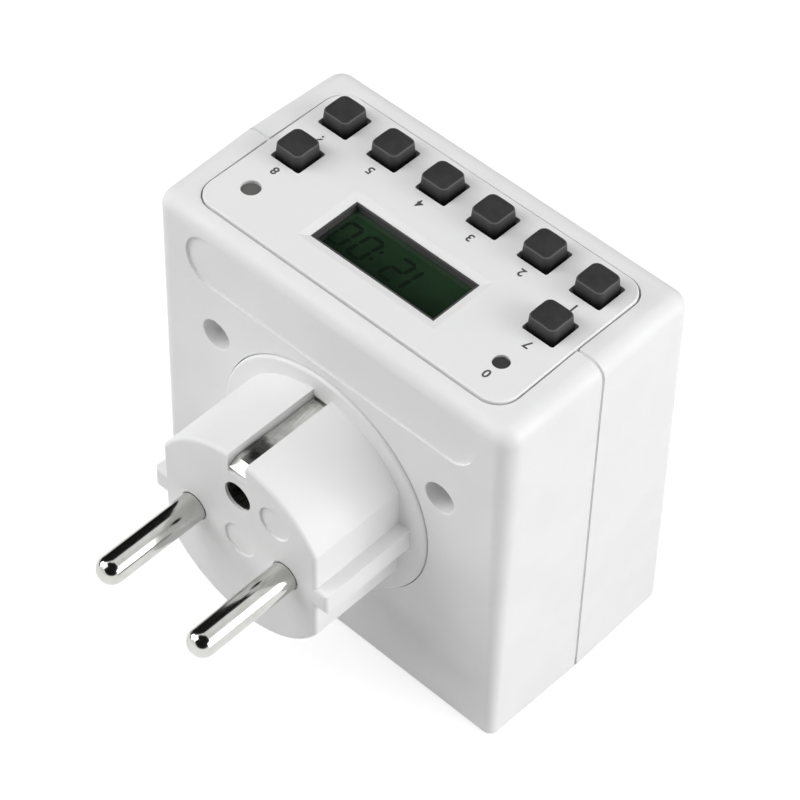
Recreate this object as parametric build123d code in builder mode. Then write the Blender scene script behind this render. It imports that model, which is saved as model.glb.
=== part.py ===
from build123d import *

import os
from math import radians, tan

# Plug-in digital timer switch: a mains plug on the wall side, an outlet on the user's side and a
# control panel with keys and a display on top. Millimetres.
#
# Frame: the origin is the centre of the plug's engagement face, midway between the two pins.
# +Y runs along the pins into the wall, +Z is up, and +X is to the right as the user sees it.

os.makedirs("parts", exist_ok=True)

# ---------------------------------------------------------------- driving dimensions

# Plug and outlet standard for 16 A, 250 V with an earth pin in the outlet
PIN_SPACING = 19.0
PIN_RADIUS = 2.4
PIN_NECK_RADIUS = 2.2
PIN_LENGTH = 19.0
PIN_SEAT_DEPTH = 0.4
PIN_SEAT_GAP = 0.15
EARTH_OFFSET = 10.0
PLUG_RADIUS = 18.0
PLUG_FLAT = 15.7
PLUG_LENGTH = 18.2
OUTLET_DEPTH = 17.5
EARTH_PIN_LENGTH = 14.0
OUTLET_RADIUS = 19.8

# Case
CASE_DEPTH = 39.6
SEAM_DEPTH = 19.6
SEAM_HALF = 35.6
SEAM_TOP = 35.4
CASE_BOTTOM = -34.5
DRAFT_ANGLE = 1.15
WALL = 2.0
CASE_RADIUS = 2.7
CORNER_TOP_RADIUS = 3.1
CORNER_BOTTOM_RADIUS = 1.5
FOOT_RADIUS = 1.0
FIT_GAP = 0.15
SEAM_GROOVE_WIDTH = 0.5
SEAM_GROOVE_DEPTH = 0.5
TONGUE_INSET = 1.2
TONGUE_LENGTH = 1.2
TONGUE_TOP = 30.0
REBATE_DEPTH = 1.4

# Control panel
PANEL_HALF = 30.4
PANEL_START = -21.5
PANEL_DEPTH = 31.9
PANEL_TOP = 35.5
PANEL_THICKNESS = 1.8
PANEL_CORNER = 3.7
PANEL_GAP = 0.3
PANEL_EDGE_RADIUS = 0.3
LEDGE_WIDTH = 1.2
LEDGE_THICKNESS = 1.7

# Keys
KEY_PITCH = 10.0
KEY_OPENING = 5.9
KEY_FOOT = 5.4
KEY_HEAD = 5.05
KEY_FOOT_CORNER = 0.7
KEY_HEAD_CORNER = 1.15
KEY_PROUD = 2.65
KEY_DOME_RADIUS = 22.0
KEY_FLANGE = 6.8
KEY_TRAVEL = 1.0
FIRST_ROW_Y = -48.1
SECOND_ROW_Y = -38.1

# Display window
WINDOW_HALF = 12.17
WINDOW_START = -27.65
WINDOW_END = -37.45
WINDOW_BEVEL_WIDTH = 1.35
WINDOW_BEVEL_DEPTH = 0.4
DISPLAY_SINK = 1.6

# Lamp and reset button
LED_X = 25.0
RESET_X = -24.5
LAMP_ROW_Y = -28.3
LAMP_HOLE_RADIUS = 1.6
RESET_HOLE_RADIUS = 1.35
RESET_RADIUS = 1.15

# Boards
BOARD_THICKNESS = 1.6
CONTROL_BOARD_TOP = 29.6
POWER_BOARD_TOP = -29.8

# Housing screws
SCREW_X = 22.9
SCREW_Z = 13.1
SCREW_SEAT_Y = -33.0
SCREW_HEAD_RADIUS = 2.5
SCREW_HEAD_HEIGHT = 2.0
SCREW_HOLE_RADIUS = 2.75
SCREW_SHANK_RADIUS = 1.45
SCREW_LENGTH = 15.0
SCREW_COLUMN_RADIUS = 4.0
SCREW_BOSS_RADIUS = 3.4

# Shutter
SHUTTER_THICKNESS = 2.6
SHUTTER_HALF = 12.9
SHUTTER_TOP = 3.2
SHUTTER_TAB_HALF = 5.0
SHUTTER_TAB_END = -7.0
SHUTTER_RAMP = 1.6
GUIDE_THICKNESS = 1.6
SPRING_SEAT_TOP = -16.1

# ---------------------------------------------------------------- places worked out from them

PIN_X = PIN_SPACING / 2
PIN_PLACES = [(PIN_X, 0), (-PIN_X, 0)]
EARTH_PLACE = (0, EARTH_OFFSET)
PLUG_FACE_Y = -PLUG_LENGTH
SOCKET_FACE_Y = PLUG_FACE_Y - CASE_DEPTH
SEAM_Y = PLUG_FACE_Y - SEAM_DEPTH
FLOOR_Y = SOCKET_FACE_Y + OUTLET_DEPTH
FLOOR_BACK_Y = FLOOR_Y + WALL
INSIDE_BOTTOM = CASE_BOTTOM + WALL

PANEL_MIDDLE_Y = PANEL_START - PANEL_DEPTH / 2
PANEL_UNDERSIDE = PANEL_TOP - PANEL_THICKNESS
LEDGE_TOP = PANEL_UNDERSIDE - 0.1
LEDGE_BOTTOM = LEDGE_TOP - LEDGE_THICKNESS
WINDOW_DEPTH = WINDOW_START - WINDOW_END
WINDOW_MIDDLE_Y = (WINDOW_START + WINDOW_END) / 2
DISPLAY_TOP = PANEL_TOP - DISPLAY_SINK
CONTROL_BOARD_BOTTOM = CONTROL_BOARD_TOP - BOARD_THICKNESS

PLUG_OPENING_RADIUS = 21.05
PLUG_DISC_RADIUS = PLUG_OPENING_RADIUS - FIT_GAP
PLUG_FLANGE_RADIUS = 22.0
PLUG_FLANGE_BACK_Y = PLUG_FACE_Y - 2 * WALL

SCREW_PLACES = [(SCREW_X, SCREW_Z), (-SCREW_X, SCREW_Z)]
BLOCK_FRONT_Y = -34.4
BLOCK_BACK_Y = PLUG_FLANGE_BACK_Y - 0.1
SHUTTER_FRONT_Y = FLOOR_BACK_Y + 0.2
SHUTTER_BACK_Y = SHUTTER_FRONT_Y + SHUTTER_THICKNESS
POST_PLACES = [(19.5, -25.5), (-19.5, -25.5), (19.5, -42.0), (-19.5, -42.0)]
POWER_SCREW_PLACES = [(15.5, -46.0), (-15.5, -46.0)]

KEYS = {
    "key_minute": (2.5 * KEY_PITCH, FIRST_ROW_Y),
    "key_hour": (1.5 * KEY_PITCH, FIRST_ROW_Y),
    "key_week": (0.5 * KEY_PITCH, FIRST_ROW_Y),
    "key_mode": (-0.5 * KEY_PITCH, FIRST_ROW_Y),
    "key_timer": (-1.5 * KEY_PITCH, FIRST_ROW_Y),
    "key_clock": (-2.5 * KEY_PITCH, FIRST_ROW_Y),
    "key_recall": (2.5 * KEY_PITCH, SECOND_ROW_Y),
    "key_random": (-2.5 * KEY_PITCH, SECOND_ROW_Y),
}

# Pockets in the front shell's floor take the claws of the rear shell's hooks
HOOK_START = 21.0
HOOK_WIDTH = 6.0
HOOK_TOP = INSIDE_BOTTOM + 1.0
HOOK_END_Y = -41.3
CLAW_LENGTH = 1.2
CLAW_DEPTH = 0.4
POCKET_GAP = 0.2


def across(y):
    """The plane across the case at depth y: its x is +X, its y is +Z, and it extrudes to -Y."""
    return Plane.XZ.offset(-y)


def box_between(x_range, y_range, z_range, mode=Mode.ADD):
    """A box given by its limits along X, Y and Z, joined to or cut from the piece being built."""
    middle = [(low + high) / 2 for low, high in (x_range, y_range, z_range)]
    size = [abs(high - low) for low, high in (x_range, y_range, z_range)]
    with Locations(tuple(middle)):
        Box(*size, mode=mode)


def drafted_block(half, top, bottom, end_y):
    """A block from the seam to end_y: its sides and top draw in towards end_y, its bottom is level."""
    with BuildPart() as block:
        box_between((-half, half), sorted((SEAM_Y, end_y)), (bottom, top))
        drawn_in = block.faces().filter_by(Axis.X) + block.faces().sort_by(Axis.Z)[-1:]
        draft(drawn_in, across(SEAM_Y), DRAFT_ANGLE if end_y < SEAM_Y else -DRAFT_ANGLE)
    return block.part


def rounded_column(face_y):
    """The plan of a shell raised to a column: its outer corners are rounder at the top."""
    face_half = SEAM_HALF - abs(face_y - SEAM_Y) * tan(radians(DRAFT_ANGLE))
    with BuildPart() as column:
        for level, radius in ((CASE_BOTTOM, CORNER_BOTTOM_RADIUS), (SEAM_TOP + 1, CORNER_TOP_RADIUS)):
            with BuildSketch(Plane.XY.offset(level)) as plan:
                with BuildLine():
                    Polyline(
                        (-SEAM_HALF, SEAM_Y),
                        (SEAM_HALF, SEAM_Y),
                        (face_half, face_y),
                        (-face_half, face_y),
                        close=True,
                    )
                make_face()
                fillet(plan.vertices().filter_by_position(Axis.Y, face_y, face_y), radius)
        loft(ruled=True)
    return column.part


def case_shell(face_y):
    """One hollow shell from the seam to an outer face, with a ledge for the control panel."""
    inside_y = face_y + WALL if face_y < SEAM_Y else face_y - WALL
    with BuildPart() as shell:
        add(drafted_block(SEAM_HALF + 1, SEAM_TOP, CASE_BOTTOM, face_y))
        add(rounded_column(face_y), mode=Mode.INTERSECT)
        top_edges = shell.faces().sort_by(Axis.Z)[-1].edges()
        fillet(top_edges.filter_by(lambda e: abs(e.center().Y - SEAM_Y) > 0.1), CASE_RADIUS)
        bottom_edges = shell.faces().sort_by(Axis.Z)[0].edges()
        fillet(bottom_edges.filter_by(lambda e: abs(e.center().Y - SEAM_Y) > 0.1), FOOT_RADIUS)
        hollow = drafted_block(SEAM_HALF - WALL, SEAM_TOP - WALL, INSIDE_BOTTOM, inside_y)
        add(hollow, mode=Mode.SUBTRACT)
        ledge_half = SEAM_HALF - WALL + 0.5
        box_between((-ledge_half, ledge_half), sorted((SEAM_Y, inside_y)), (LEDGE_BOTTOM, LEDGE_TOP + 0.2))
    return shell.part


def panel_seat():
    """The space that the control panel takes in the case: its seat and the opening inside its ledge."""
    seat_width = 2 * (PANEL_HALF + PANEL_GAP)
    seat_depth = PANEL_DEPTH + 2 * PANEL_GAP
    with BuildPart() as seat:
        with BuildSketch(Plane.XY.offset(LEDGE_TOP)):
            with Locations((0, PANEL_MIDDLE_Y)):
                RectangleRounded(seat_width, seat_depth, PANEL_CORNER + PANEL_GAP)
        extrude(amount=2 * PANEL_THICKNESS)
        box_between(
            (-PANEL_HALF + LEDGE_WIDTH, PANEL_HALF - LEDGE_WIDTH),
            (PANEL_START - PANEL_DEPTH + LEDGE_WIDTH, PANEL_START - LEDGE_WIDTH),
            (LEDGE_BOTTOM - 1, LEDGE_TOP + 1),
        )
    return seat.part


# ---------------------------------------------------------------- case

WELL_MOUTH_RADIUS = 0.2
RATING_RECESS_Z = 27.4
RATING_RECESS_LENGTH = 57.6
RATING_RECESS_HEIGHT = 9.6
RATING_RECESS_DEPTH = 0.45

with BuildPart() as rear_housing:
    add(case_shell(PLUG_FACE_Y))
    add(panel_seat(), mode=Mode.SUBTRACT)

    # Rebate for the other shell's tongue, and the fine groove outside the seam
    rebate_inset = TONGUE_INSET - FIT_GAP
    box_between(
        (-SEAM_HALF + rebate_inset, SEAM_HALF - rebate_inset),
        (SEAM_Y, SEAM_Y + REBATE_DEPTH),
        (CASE_BOTTOM + rebate_inset, TONGUE_TOP),
        Mode.SUBTRACT,
    )
    groove_inside_width = 2 * (SEAM_HALF - SEAM_GROOVE_DEPTH)
    groove_inside_height = SEAM_TOP - CASE_BOTTOM - 2 * SEAM_GROOVE_DEPTH
    with BuildSketch(across(SEAM_Y)):
        Rectangle(3 * SEAM_HALF, 3 * SEAM_HALF)
        with Locations((0, (SEAM_TOP + CASE_BOTTOM) / 2)):
            RectangleRounded(
                groove_inside_width, groove_inside_height, CASE_RADIUS - SEAM_GROOVE_DEPTH, mode=Mode.SUBTRACT
            )
    extrude(amount=-SEAM_GROOVE_WIDTH, mode=Mode.SUBTRACT)

    # Round opening for the plug
    with BuildSketch(across(PLUG_FACE_Y)):
        Circle(PLUG_OPENING_RADIUS)
    extrude(amount=2 * WALL, mode=Mode.SUBTRACT)

    # Screw columns, with a deep well for each screw's head
    with BuildSketch(across(PLUG_FACE_Y - WALL / 2)):
        with Locations(*SCREW_PLACES):
            Circle(SCREW_COLUMN_RADIUS)
    extrude(amount=PLUG_FACE_Y - WALL / 2 - SEAM_Y - 0.2)
    with BuildSketch(across(PLUG_FACE_Y)):
        with Locations(*SCREW_PLACES):
            Circle(SCREW_HOLE_RADIUS)
    extrude(amount=PLUG_FACE_Y - SCREW_SEAT_Y, mode=Mode.SUBTRACT)
    with BuildSketch(across(SCREW_SEAT_Y)):
        with Locations(*SCREW_PLACES):
            Circle(SCREW_SHANK_RADIUS + FIT_GAP)
    extrude(amount=SCREW_SEAT_Y - SEAM_Y, mode=Mode.SUBTRACT)
    well_mouths = rear_housing.edges().filter_by_position(Axis.Y, PLUG_FACE_Y, PLUG_FACE_Y)
    well_mouths = well_mouths.filter_by(GeomType.CIRCLE).filter_by(lambda e: e.radius < PLUG_RADIUS)
    fillet(well_mouths, WELL_MOUTH_RADIUS)

    # Shallow recess for the rating plate
    with BuildSketch(across(PLUG_FACE_Y)):
        with Locations((0, RATING_RECESS_Z)):
            SlotOverall(RATING_RECESS_LENGTH, RATING_RECESS_HEIGHT)
    extrude(amount=RATING_RECESS_DEPTH, mode=Mode.SUBTRACT)

    # Two hooks that reach under the front shell, and a rib under the power board
    for side in (-1, 1):
        hook_x = sorted((side * HOOK_START, side * (HOOK_START + HOOK_WIDTH)))
        box_between(hook_x, (SEAM_Y + REBATE_DEPTH + 0.2, -30.0), (INSIDE_BOTTOM - 0.3, HOOK_TOP))
        box_between(hook_x, (HOOK_END_Y, -35.0), (INSIDE_BOTTOM + 0.1, HOOK_TOP))
        box_between(hook_x, (HOOK_END_Y, HOOK_END_Y + CLAW_LENGTH), (INSIDE_BOTTOM - CLAW_DEPTH, HOOK_TOP))
    rib_top = POWER_BOARD_TOP - BOARD_THICKNESS - 0.1
    box_between((-25.0, 25.0), (-25.5, -24.3), (INSIDE_BOTTOM - 0.3, rib_top))
rear_housing.part.label = "rear_housing"
export_step(rear_housing.part, "parts/rear_housing.step")

BOSS_HOLE_DEPTH = 13.0
STANDOFF_RADIUS = 2.6
STANDOFF_HOLE_RADIUS = 0.95

with BuildPart() as front_housing:
    add(case_shell(SOCKET_FACE_Y))

    # Outlet recess: a tube with a floor
    with BuildSketch(across(FLOOR_BACK_Y)):
        Circle(OUTLET_RADIUS + WALL)
    extrude(amount=FLOOR_BACK_Y - SOCKET_FACE_Y - WALL / 2)
    with BuildSketch(across(FLOOR_Y)):
        Circle(OUTLET_RADIUS)
    extrude(amount=OUTLET_DEPTH, mode=Mode.SUBTRACT)
    outlet_mouth = front_housing.edges().filter_by_position(Axis.Y, SOCKET_FACE_Y, SOCKET_FACE_Y)
    fillet(outlet_mouth.filter_by(GeomType.CIRCLE), 0.8)
    with BuildSketch(across(FLOOR_BACK_Y)):
        with Locations(*PIN_PLACES):
            Circle(PIN_RADIUS + 0.25)
        with Locations(EARTH_PLACE):
            Circle(PIN_NECK_RADIUS + 0.05)
    extrude(amount=2 * WALL, mode=Mode.SUBTRACT)

    # Tongue that enters the other shell's rebate at the sides and the bottom
    tongue_outer_half = SEAM_HALF - TONGUE_INSET
    tongue_bottom = CASE_BOTTOM + TONGUE_INSET
    with BuildSketch(across(SEAM_Y + TONGUE_LENGTH)):
        with Locations((0, (TONGUE_TOP + tongue_bottom) / 2)):
            Rectangle(2 * tongue_outer_half, TONGUE_TOP - tongue_bottom)
        with Locations((0, (TONGUE_TOP + 1 + INSIDE_BOTTOM) / 2)):
            Rectangle(2 * (SEAM_HALF - WALL), TONGUE_TOP + 1 - INSIDE_BOTTOM, mode=Mode.SUBTRACT)
    extrude(amount=2 * TONGUE_LENGTH)
    add(panel_seat(), mode=Mode.SUBTRACT)

    # Bosses for the housing screws
    with BuildSketch(across(SEAM_Y - 0.1)):
        with Locations(*SCREW_PLACES):
            Circle(SCREW_BOSS_RADIUS)
    extrude(amount=SEAM_Y - SOCKET_FACE_Y - WALL / 2)
    with BuildSketch(across(SEAM_Y)):
        with Locations(*SCREW_PLACES):
            Circle(SCREW_SHANK_RADIUS)
    extrude(amount=BOSS_HOLE_DEPTH, mode=Mode.SUBTRACT)

    # Guides of the shutter and the seat of its spring, on the back of the outlet's floor
    guide_start = SHUTTER_HALF + 0.2
    guide_y = (FLOOR_BACK_Y - 0.5, BLOCK_FRONT_Y - 0.05)
    for side in (-1, 1):
        guide_x = sorted((side * guide_start, side * (guide_start + GUIDE_THICKNESS)))
        box_between(guide_x, guide_y, (-14.0, 4.0))
    box_between((-3.0, 3.0), guide_y, (SPRING_SEAT_TOP - GUIDE_THICKNESS, SPRING_SEAT_TOP))

    # Standoffs of the power board and the pockets for the other shell's hooks
    with BuildSketch(Plane.XY.offset(CASE_BOTTOM + WALL / 2)):
        with Locations(*POWER_SCREW_PLACES):
            Circle(STANDOFF_RADIUS)
    extrude(amount=POWER_BOARD_TOP - BOARD_THICKNESS - CASE_BOTTOM - WALL / 2)
    with BuildSketch(Plane.XY.offset(CASE_BOTTOM + 0.8)):
        with Locations(*POWER_SCREW_PLACES):
            Circle(STANDOFF_HOLE_RADIUS)
    extrude(amount=WALL + BOARD_THICKNESS, mode=Mode.SUBTRACT)
    pocket_y = (HOOK_END_Y - 2 * POCKET_GAP, HOOK_END_Y + CLAW_LENGTH + POCKET_GAP)
    pocket_z = (INSIDE_BOTTOM - CLAW_DEPTH - 0.3, INSIDE_BOTTOM + 0.5)
    for side in (-1, 1):
        pocket_start = side * (HOOK_START - POCKET_GAP)
        pocket_end = side * (HOOK_START + HOOK_WIDTH + POCKET_GAP)
        box_between(sorted((pocket_start, pocket_end)), pocket_y, pocket_z, Mode.SUBTRACT)
front_housing.part.label = "front_housing"
export_step(front_housing.part, "parts/front_housing.step")

CROSS_LENGTH = 2.8
CROSS_WIDTH = 0.6

with BuildPart() as housing_screws:
    head_top_y = SCREW_SEAT_Y + SCREW_HEAD_HEIGHT
    with BuildSketch(across(head_top_y)):
        with Locations(*SCREW_PLACES):
            Circle(SCREW_HEAD_RADIUS)
    extrude(amount=SCREW_HEAD_HEIGHT)
    fillet(housing_screws.edges().filter_by_position(Axis.Y, head_top_y, head_top_y), 0.6)
    with BuildSketch(across(head_top_y)):
        with Locations(*SCREW_PLACES):
            Rectangle(CROSS_LENGTH, CROSS_WIDTH)
            Rectangle(CROSS_WIDTH, CROSS_LENGTH)
    extrude(amount=0.6 * SCREW_HEAD_HEIGHT, mode=Mode.SUBTRACT)
    with BuildSketch(across(SCREW_SEAT_Y)):
        with Locations(*SCREW_PLACES):
            Circle(SCREW_SHANK_RADIUS - 0.03)
    extrude(amount=SCREW_LENGTH)
housing_screws.part.label = "housing_screws"
export_step(housing_screws.part, "parts/housing_screws.step")

# ---------------------------------------------------------------- plug

SLOT_HALF = 1.8
SLOT_FLOOR = 14.4
SLOT_PASSAGE = 16.6
DISC_PROUD = 0.6
DISC_RIM_RADIUS = 0.5
RIB_REACH = 17.9
RIB_WIDTH = 4.0
FLAT_BLEND = 0.8
FRONT_THICKNESS = 2.5
HOLLOW_WIDTH = 25.6
HOLLOW_HEIGHT = 21.0
EARTH_HOLE_RADIUS = PIN_RADIUS + 0.2
EARTH_WELL_RADIUS = 3.1
EARTH_LIP_THICKNESS = 0.5
MOULD_MARKS = [((0, 0), 2.95), ((-7.4, 9.9), 2.85)]
MARK_DEPTH = 0.35
MARK_EDGE_RADIUS = 0.2

with BuildPart() as plug_insert:
    with BuildSketch(across(0)) as plug_section:
        Circle(PLUG_RADIUS)
        Rectangle(2 * PLUG_FLAT, 2 * PLUG_RADIUS, mode=Mode.INTERSECT)
        fillet(plug_section.vertices(), FLAT_BLEND)
        Rectangle(2 * RIB_REACH, RIB_WIDTH)
    extrude(amount=PLUG_LENGTH + WALL)
    fillet(plug_insert.edges().filter_by_position(Axis.Y, 0, 0), 0.7)
    with BuildSketch(across(PLUG_FACE_Y + DISC_PROUD)):
        Circle(PLUG_DISC_RADIUS)
    extrude(amount=DISC_PROUD + WALL + 0.05)
    disc_edge = plug_insert.edges().filter_by(GeomType.CIRCLE)
    disc_edge = disc_edge.filter_by(lambda e: abs(e.radius - PLUG_DISC_RADIUS) < 0.01)
    fillet(disc_edge.sort_by(Axis.Y)[-1], DISC_RIM_RADIUS)
    with BuildSketch(across(PLUG_FACE_Y - WALL - 0.05)):
        Circle(PLUG_FLANGE_RADIUS)
    extrude(amount=WALL - 0.05)

    # Slots of the side earth strips, at the top and the bottom
    slot_x = (-SLOT_HALF, SLOT_HALF)
    for side in (-1, 1):
        slot_z = sorted((side * SLOT_FLOOR, side * (PLUG_RADIUS + 1)))
        box_between(slot_x, (PLUG_FACE_Y + DISC_PROUD, 1.0), slot_z, Mode.SUBTRACT)
        passage_z = sorted((side * SLOT_FLOOR, side * SLOT_PASSAGE))
        box_between(slot_x, (PLUG_FLANGE_BACK_Y - 1, PLUG_FACE_Y + 1), passage_z, Mode.SUBTRACT)

    # Hollow for the earth socket and the contacts, behind the plug's front
    with BuildSketch(across(-FRONT_THICKNESS)):
        Rectangle(HOLLOW_WIDTH, HOLLOW_HEIGHT)
    extrude(amount=PLUG_LENGTH + 2 * WALL, mode=Mode.SUBTRACT)
    with BuildSketch(across(-EARTH_LIP_THICKNESS)):
        with Locations(EARTH_PLACE):
            Circle(EARTH_WELL_RADIUS)
    extrude(amount=PLUG_LENGTH + 2 * WALL, mode=Mode.SUBTRACT)

    # Holes of the pins and of the wall outlet's earth pin
    with BuildSketch(across(1)):
        with Locations(*PIN_PLACES):
            Circle(PIN_NECK_RADIUS + 0.02)
        with Locations(EARTH_PLACE):
            Circle(EARTH_HOLE_RADIUS)
    extrude(amount=FRONT_THICKNESS + 1.5, mode=Mode.SUBTRACT)
    with BuildSketch(across(0)):
        with Locations(*PIN_PLACES):
            Circle(PIN_RADIUS + PIN_SEAT_GAP)
    extrude(amount=PIN_SEAT_DEPTH, mode=Mode.SUBTRACT)

    # Two round moulding marks in the face
    with BuildSketch(across(0)):
        for mark_place, mark_radius in MOULD_MARKS:
            with Locations(mark_place):
                Circle(mark_radius)
    extrude(amount=MARK_DEPTH, mode=Mode.SUBTRACT)
    mark_rims = plug_insert.edges().filter_by_position(Axis.Y, 0, 0).filter_by(GeomType.CIRCLE)
    mark_rims = mark_rims.filter_by(lambda e: EARTH_HOLE_RADIUS + 0.1 < e.radius < PIN_X)
    fillet(mark_rims, MARK_EDGE_RADIUS)
plug_insert.part.label = "plug_insert"
export_step(plug_insert.part, "parts/plug_insert.step")

PIN_SHOULDER_RADIUS = 3.2
PIN_SHOULDER_THICKNESS = 1.2
PIN_TAIL_RADIUS = 1.7
PIN_TAIL_LENGTH = 5.0
PIN_TIP_RADIUS = PIN_RADIUS - 0.15

for side_name, side in (("left", -1), ("right", 1)):
    pin_place = (side * PIN_X, 0)
    shoulder_y = -FRONT_THICKNESS - 0.05
    with BuildPart() as plug_pin:
        with BuildSketch(across(PIN_LENGTH)):
            with Locations(pin_place):
                Circle(PIN_RADIUS)
        extrude(amount=PIN_LENGTH)
        fillet(plug_pin.edges().filter_by_position(Axis.Y, PIN_LENGTH, PIN_LENGTH), PIN_TIP_RADIUS)
        with BuildSketch(across(0)):
            with Locations(pin_place):
                Circle(PIN_NECK_RADIUS)
        extrude(amount=FRONT_THICKNESS + 0.1)
        with BuildSketch(across(shoulder_y)):
            with Locations(pin_place):
                Circle(PIN_SHOULDER_RADIUS)
        extrude(amount=PIN_SHOULDER_THICKNESS)
        with BuildSketch(across(shoulder_y - PIN_SHOULDER_THICKNESS)):
            with Locations(pin_place):
                Circle(PIN_TAIL_RADIUS)
        extrude(amount=PIN_TAIL_LENGTH)
    plug_pin.part.label = f"plug_pin_{side_name}"
    export_step(plug_pin.part, f"parts/plug_pin_{side_name}.step")

EARTH_BASE_Y = PLUG_FLANGE_BACK_Y - 0.45
EARTH_STRIP_Z = 15.7
EARTH_STRIP_THICKNESS = 0.8

with BuildPart() as earth_bracket:
    with BuildSketch(Plane.YZ):
        with BuildLine():
            Polyline(
                (-0.4, EARTH_STRIP_Z - 0.75),
                (-1.9, EARTH_STRIP_Z + 0.15),
                (-4.2, EARTH_STRIP_Z + 0.3),
                (-9.0, EARTH_STRIP_Z),
                (EARTH_BASE_Y, EARTH_STRIP_Z),
                (EARTH_BASE_Y, -EARTH_STRIP_Z),
                (-9.0, -EARTH_STRIP_Z),
                (-4.2, -EARTH_STRIP_Z - 0.3),
                (-1.9, -EARTH_STRIP_Z - 0.15),
                (-0.4, -EARTH_STRIP_Z + 0.75),
            )
        trace(line_width=EARTH_STRIP_THICKNESS)
    extrude(amount=SLOT_HALF - FIT_GAP, both=True)
earth_bracket.part.label = "earth_bracket"
export_step(earth_bracket.part, "parts/earth_bracket.step")

EARTH_SOCKET_START_Y = -EARTH_LIP_THICKNESS - FIT_GAP
EARTH_SOCKET_END_Y = -12.7

with BuildPart() as earth_socket:
    with BuildSketch(across(EARTH_SOCKET_START_Y)):
        with Locations(EARTH_PLACE):
            Circle(PIN_RADIUS + 0.55)
            Circle(PIN_RADIUS + 0.05, mode=Mode.SUBTRACT)
    extrude(amount=EARTH_SOCKET_START_Y - EARTH_SOCKET_END_Y)
    split_z = (EARTH_OFFSET, EARTH_OFFSET + 2 * PIN_RADIUS)
    box_between((-0.4, 0.4), (-11.0, 0.0), split_z, Mode.SUBTRACT)
    strap_z = (EARTH_OFFSET - PIN_RADIUS - 0.7, EARTH_OFFSET - PIN_RADIUS - 0.1)
    box_between((-1.5, 1.5), (EARTH_BASE_Y + EARTH_STRIP_THICKNESS / 2, -9.0), strap_z)
earth_socket.part.label = "earth_socket"
export_step(earth_socket.part, "parts/earth_socket.step")

# ---------------------------------------------------------------- control panel

LCD_FRAME_WIDTH = 32.0
LCD_FRAME_DEPTH = 12.4
POST_RADIUS = 1.8
POST_HOLE_RADIUS = 0.85
POST_HOLE_DEPTH = 3.6
REAR_SNAPS = (-10.0, 10.0)
FRONT_SNAPS = (-20.0, 0.0, 20.0)
SNAP_THICKNESS = 1.0

with BuildPart() as control_panel:
    with BuildSketch(Plane.XY.offset(PANEL_UNDERSIDE)):
        with Locations((0, PANEL_MIDDLE_Y)):
            RectangleRounded(2 * PANEL_HALF, PANEL_DEPTH, PANEL_CORNER)
    extrude(amount=PANEL_THICKNESS)
    fillet(control_panel.faces().sort_by(Axis.Z)[-1].edges(), PANEL_EDGE_RADIUS)

    # Openings for the keys, the lamp and the reset button
    with BuildSketch(Plane.XY.offset(PANEL_TOP)):
        with Locations(*KEYS.values()):
            RectangleRounded(KEY_OPENING, KEY_OPENING, 0.4)
        with Locations((LED_X, LAMP_ROW_Y)):
            Circle(LAMP_HOLE_RADIUS)
        with Locations((RESET_X, LAMP_ROW_Y)):
            Circle(RESET_HOLE_RADIUS)
    extrude(amount=-PANEL_THICKNESS, mode=Mode.SUBTRACT)

    # Display window with its bevelled surround, over a pocket for the display
    with BuildSketch(Plane.XY.offset(PANEL_TOP)):
        with Locations((0, WINDOW_MIDDLE_Y)):
            Rectangle(2 * WINDOW_HALF, WINDOW_DEPTH)
    extrude(amount=-PANEL_THICKNESS, mode=Mode.SUBTRACT)
    with BuildSketch(Plane.XY.offset(PANEL_TOP)):
        with Locations((0, WINDOW_MIDDLE_Y)):
            Rectangle(2 * (WINDOW_HALF + WINDOW_BEVEL_WIDTH), WINDOW_DEPTH + 2 * WINDOW_BEVEL_WIDTH)
    with BuildSketch(Plane.XY.offset(PANEL_TOP - WINDOW_BEVEL_DEPTH)):
        with Locations((0, WINDOW_MIDDLE_Y)):
            Rectangle(2 * WINDOW_HALF, WINDOW_DEPTH)
    loft(ruled=True, mode=Mode.SUBTRACT)
    with BuildSketch(Plane.XY.offset(PANEL_UNDERSIDE)):
        with Locations((0, WINDOW_MIDDLE_Y)):
            Rectangle(LCD_FRAME_WIDTH + 0.4, LCD_FRAME_DEPTH + 0.4)
    extrude(amount=DISPLAY_TOP + 0.25 - PANEL_UNDERSIDE, mode=Mode.SUBTRACT)

    # Four posts that carry the control board
    with BuildSketch(Plane.XY.offset(CONTROL_BOARD_TOP)):
        with Locations(*POST_PLACES):
            Circle(POST_RADIUS)
    extrude(amount=PANEL_UNDERSIDE - CONTROL_BOARD_TOP)
    with BuildSketch(Plane.XY.offset(CONTROL_BOARD_TOP)):
        with Locations(*POST_PLACES):
            Circle(POST_HOLE_RADIUS)
    extrude(amount=POST_HOLE_DEPTH, mode=Mode.SUBTRACT)

    # Snap hooks that catch under the ledge
    catch_top = LEDGE_BOTTOM - 0.2
    for snap_x in REAR_SNAPS:
        snap_range = (snap_x - 2, snap_x + 2)
        snap_y = -24.0
        box_between(snap_range, (snap_y, snap_y + 1.1), (catch_top - SNAP_THICKNESS, PANEL_UNDERSIDE))
        box_between(snap_range, (snap_y, snap_y + 2), (catch_top - SNAP_THICKNESS, catch_top))
    for snap_x in FRONT_SNAPS:
        snap_range = (snap_x - 1.1, snap_x + 1.1)
        snap_y = -50.9
        box_between(snap_range, (snap_y - 1, snap_y), (catch_top - 0.4, PANEL_UNDERSIDE))
        box_between(snap_range, (snap_y - 2, snap_y), (catch_top - 0.7, catch_top))
control_panel.part.label = "control_panel"
export_step(control_panel.part, "parts/control_panel.step")

# ---------------------------------------------------------------- keys

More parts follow.
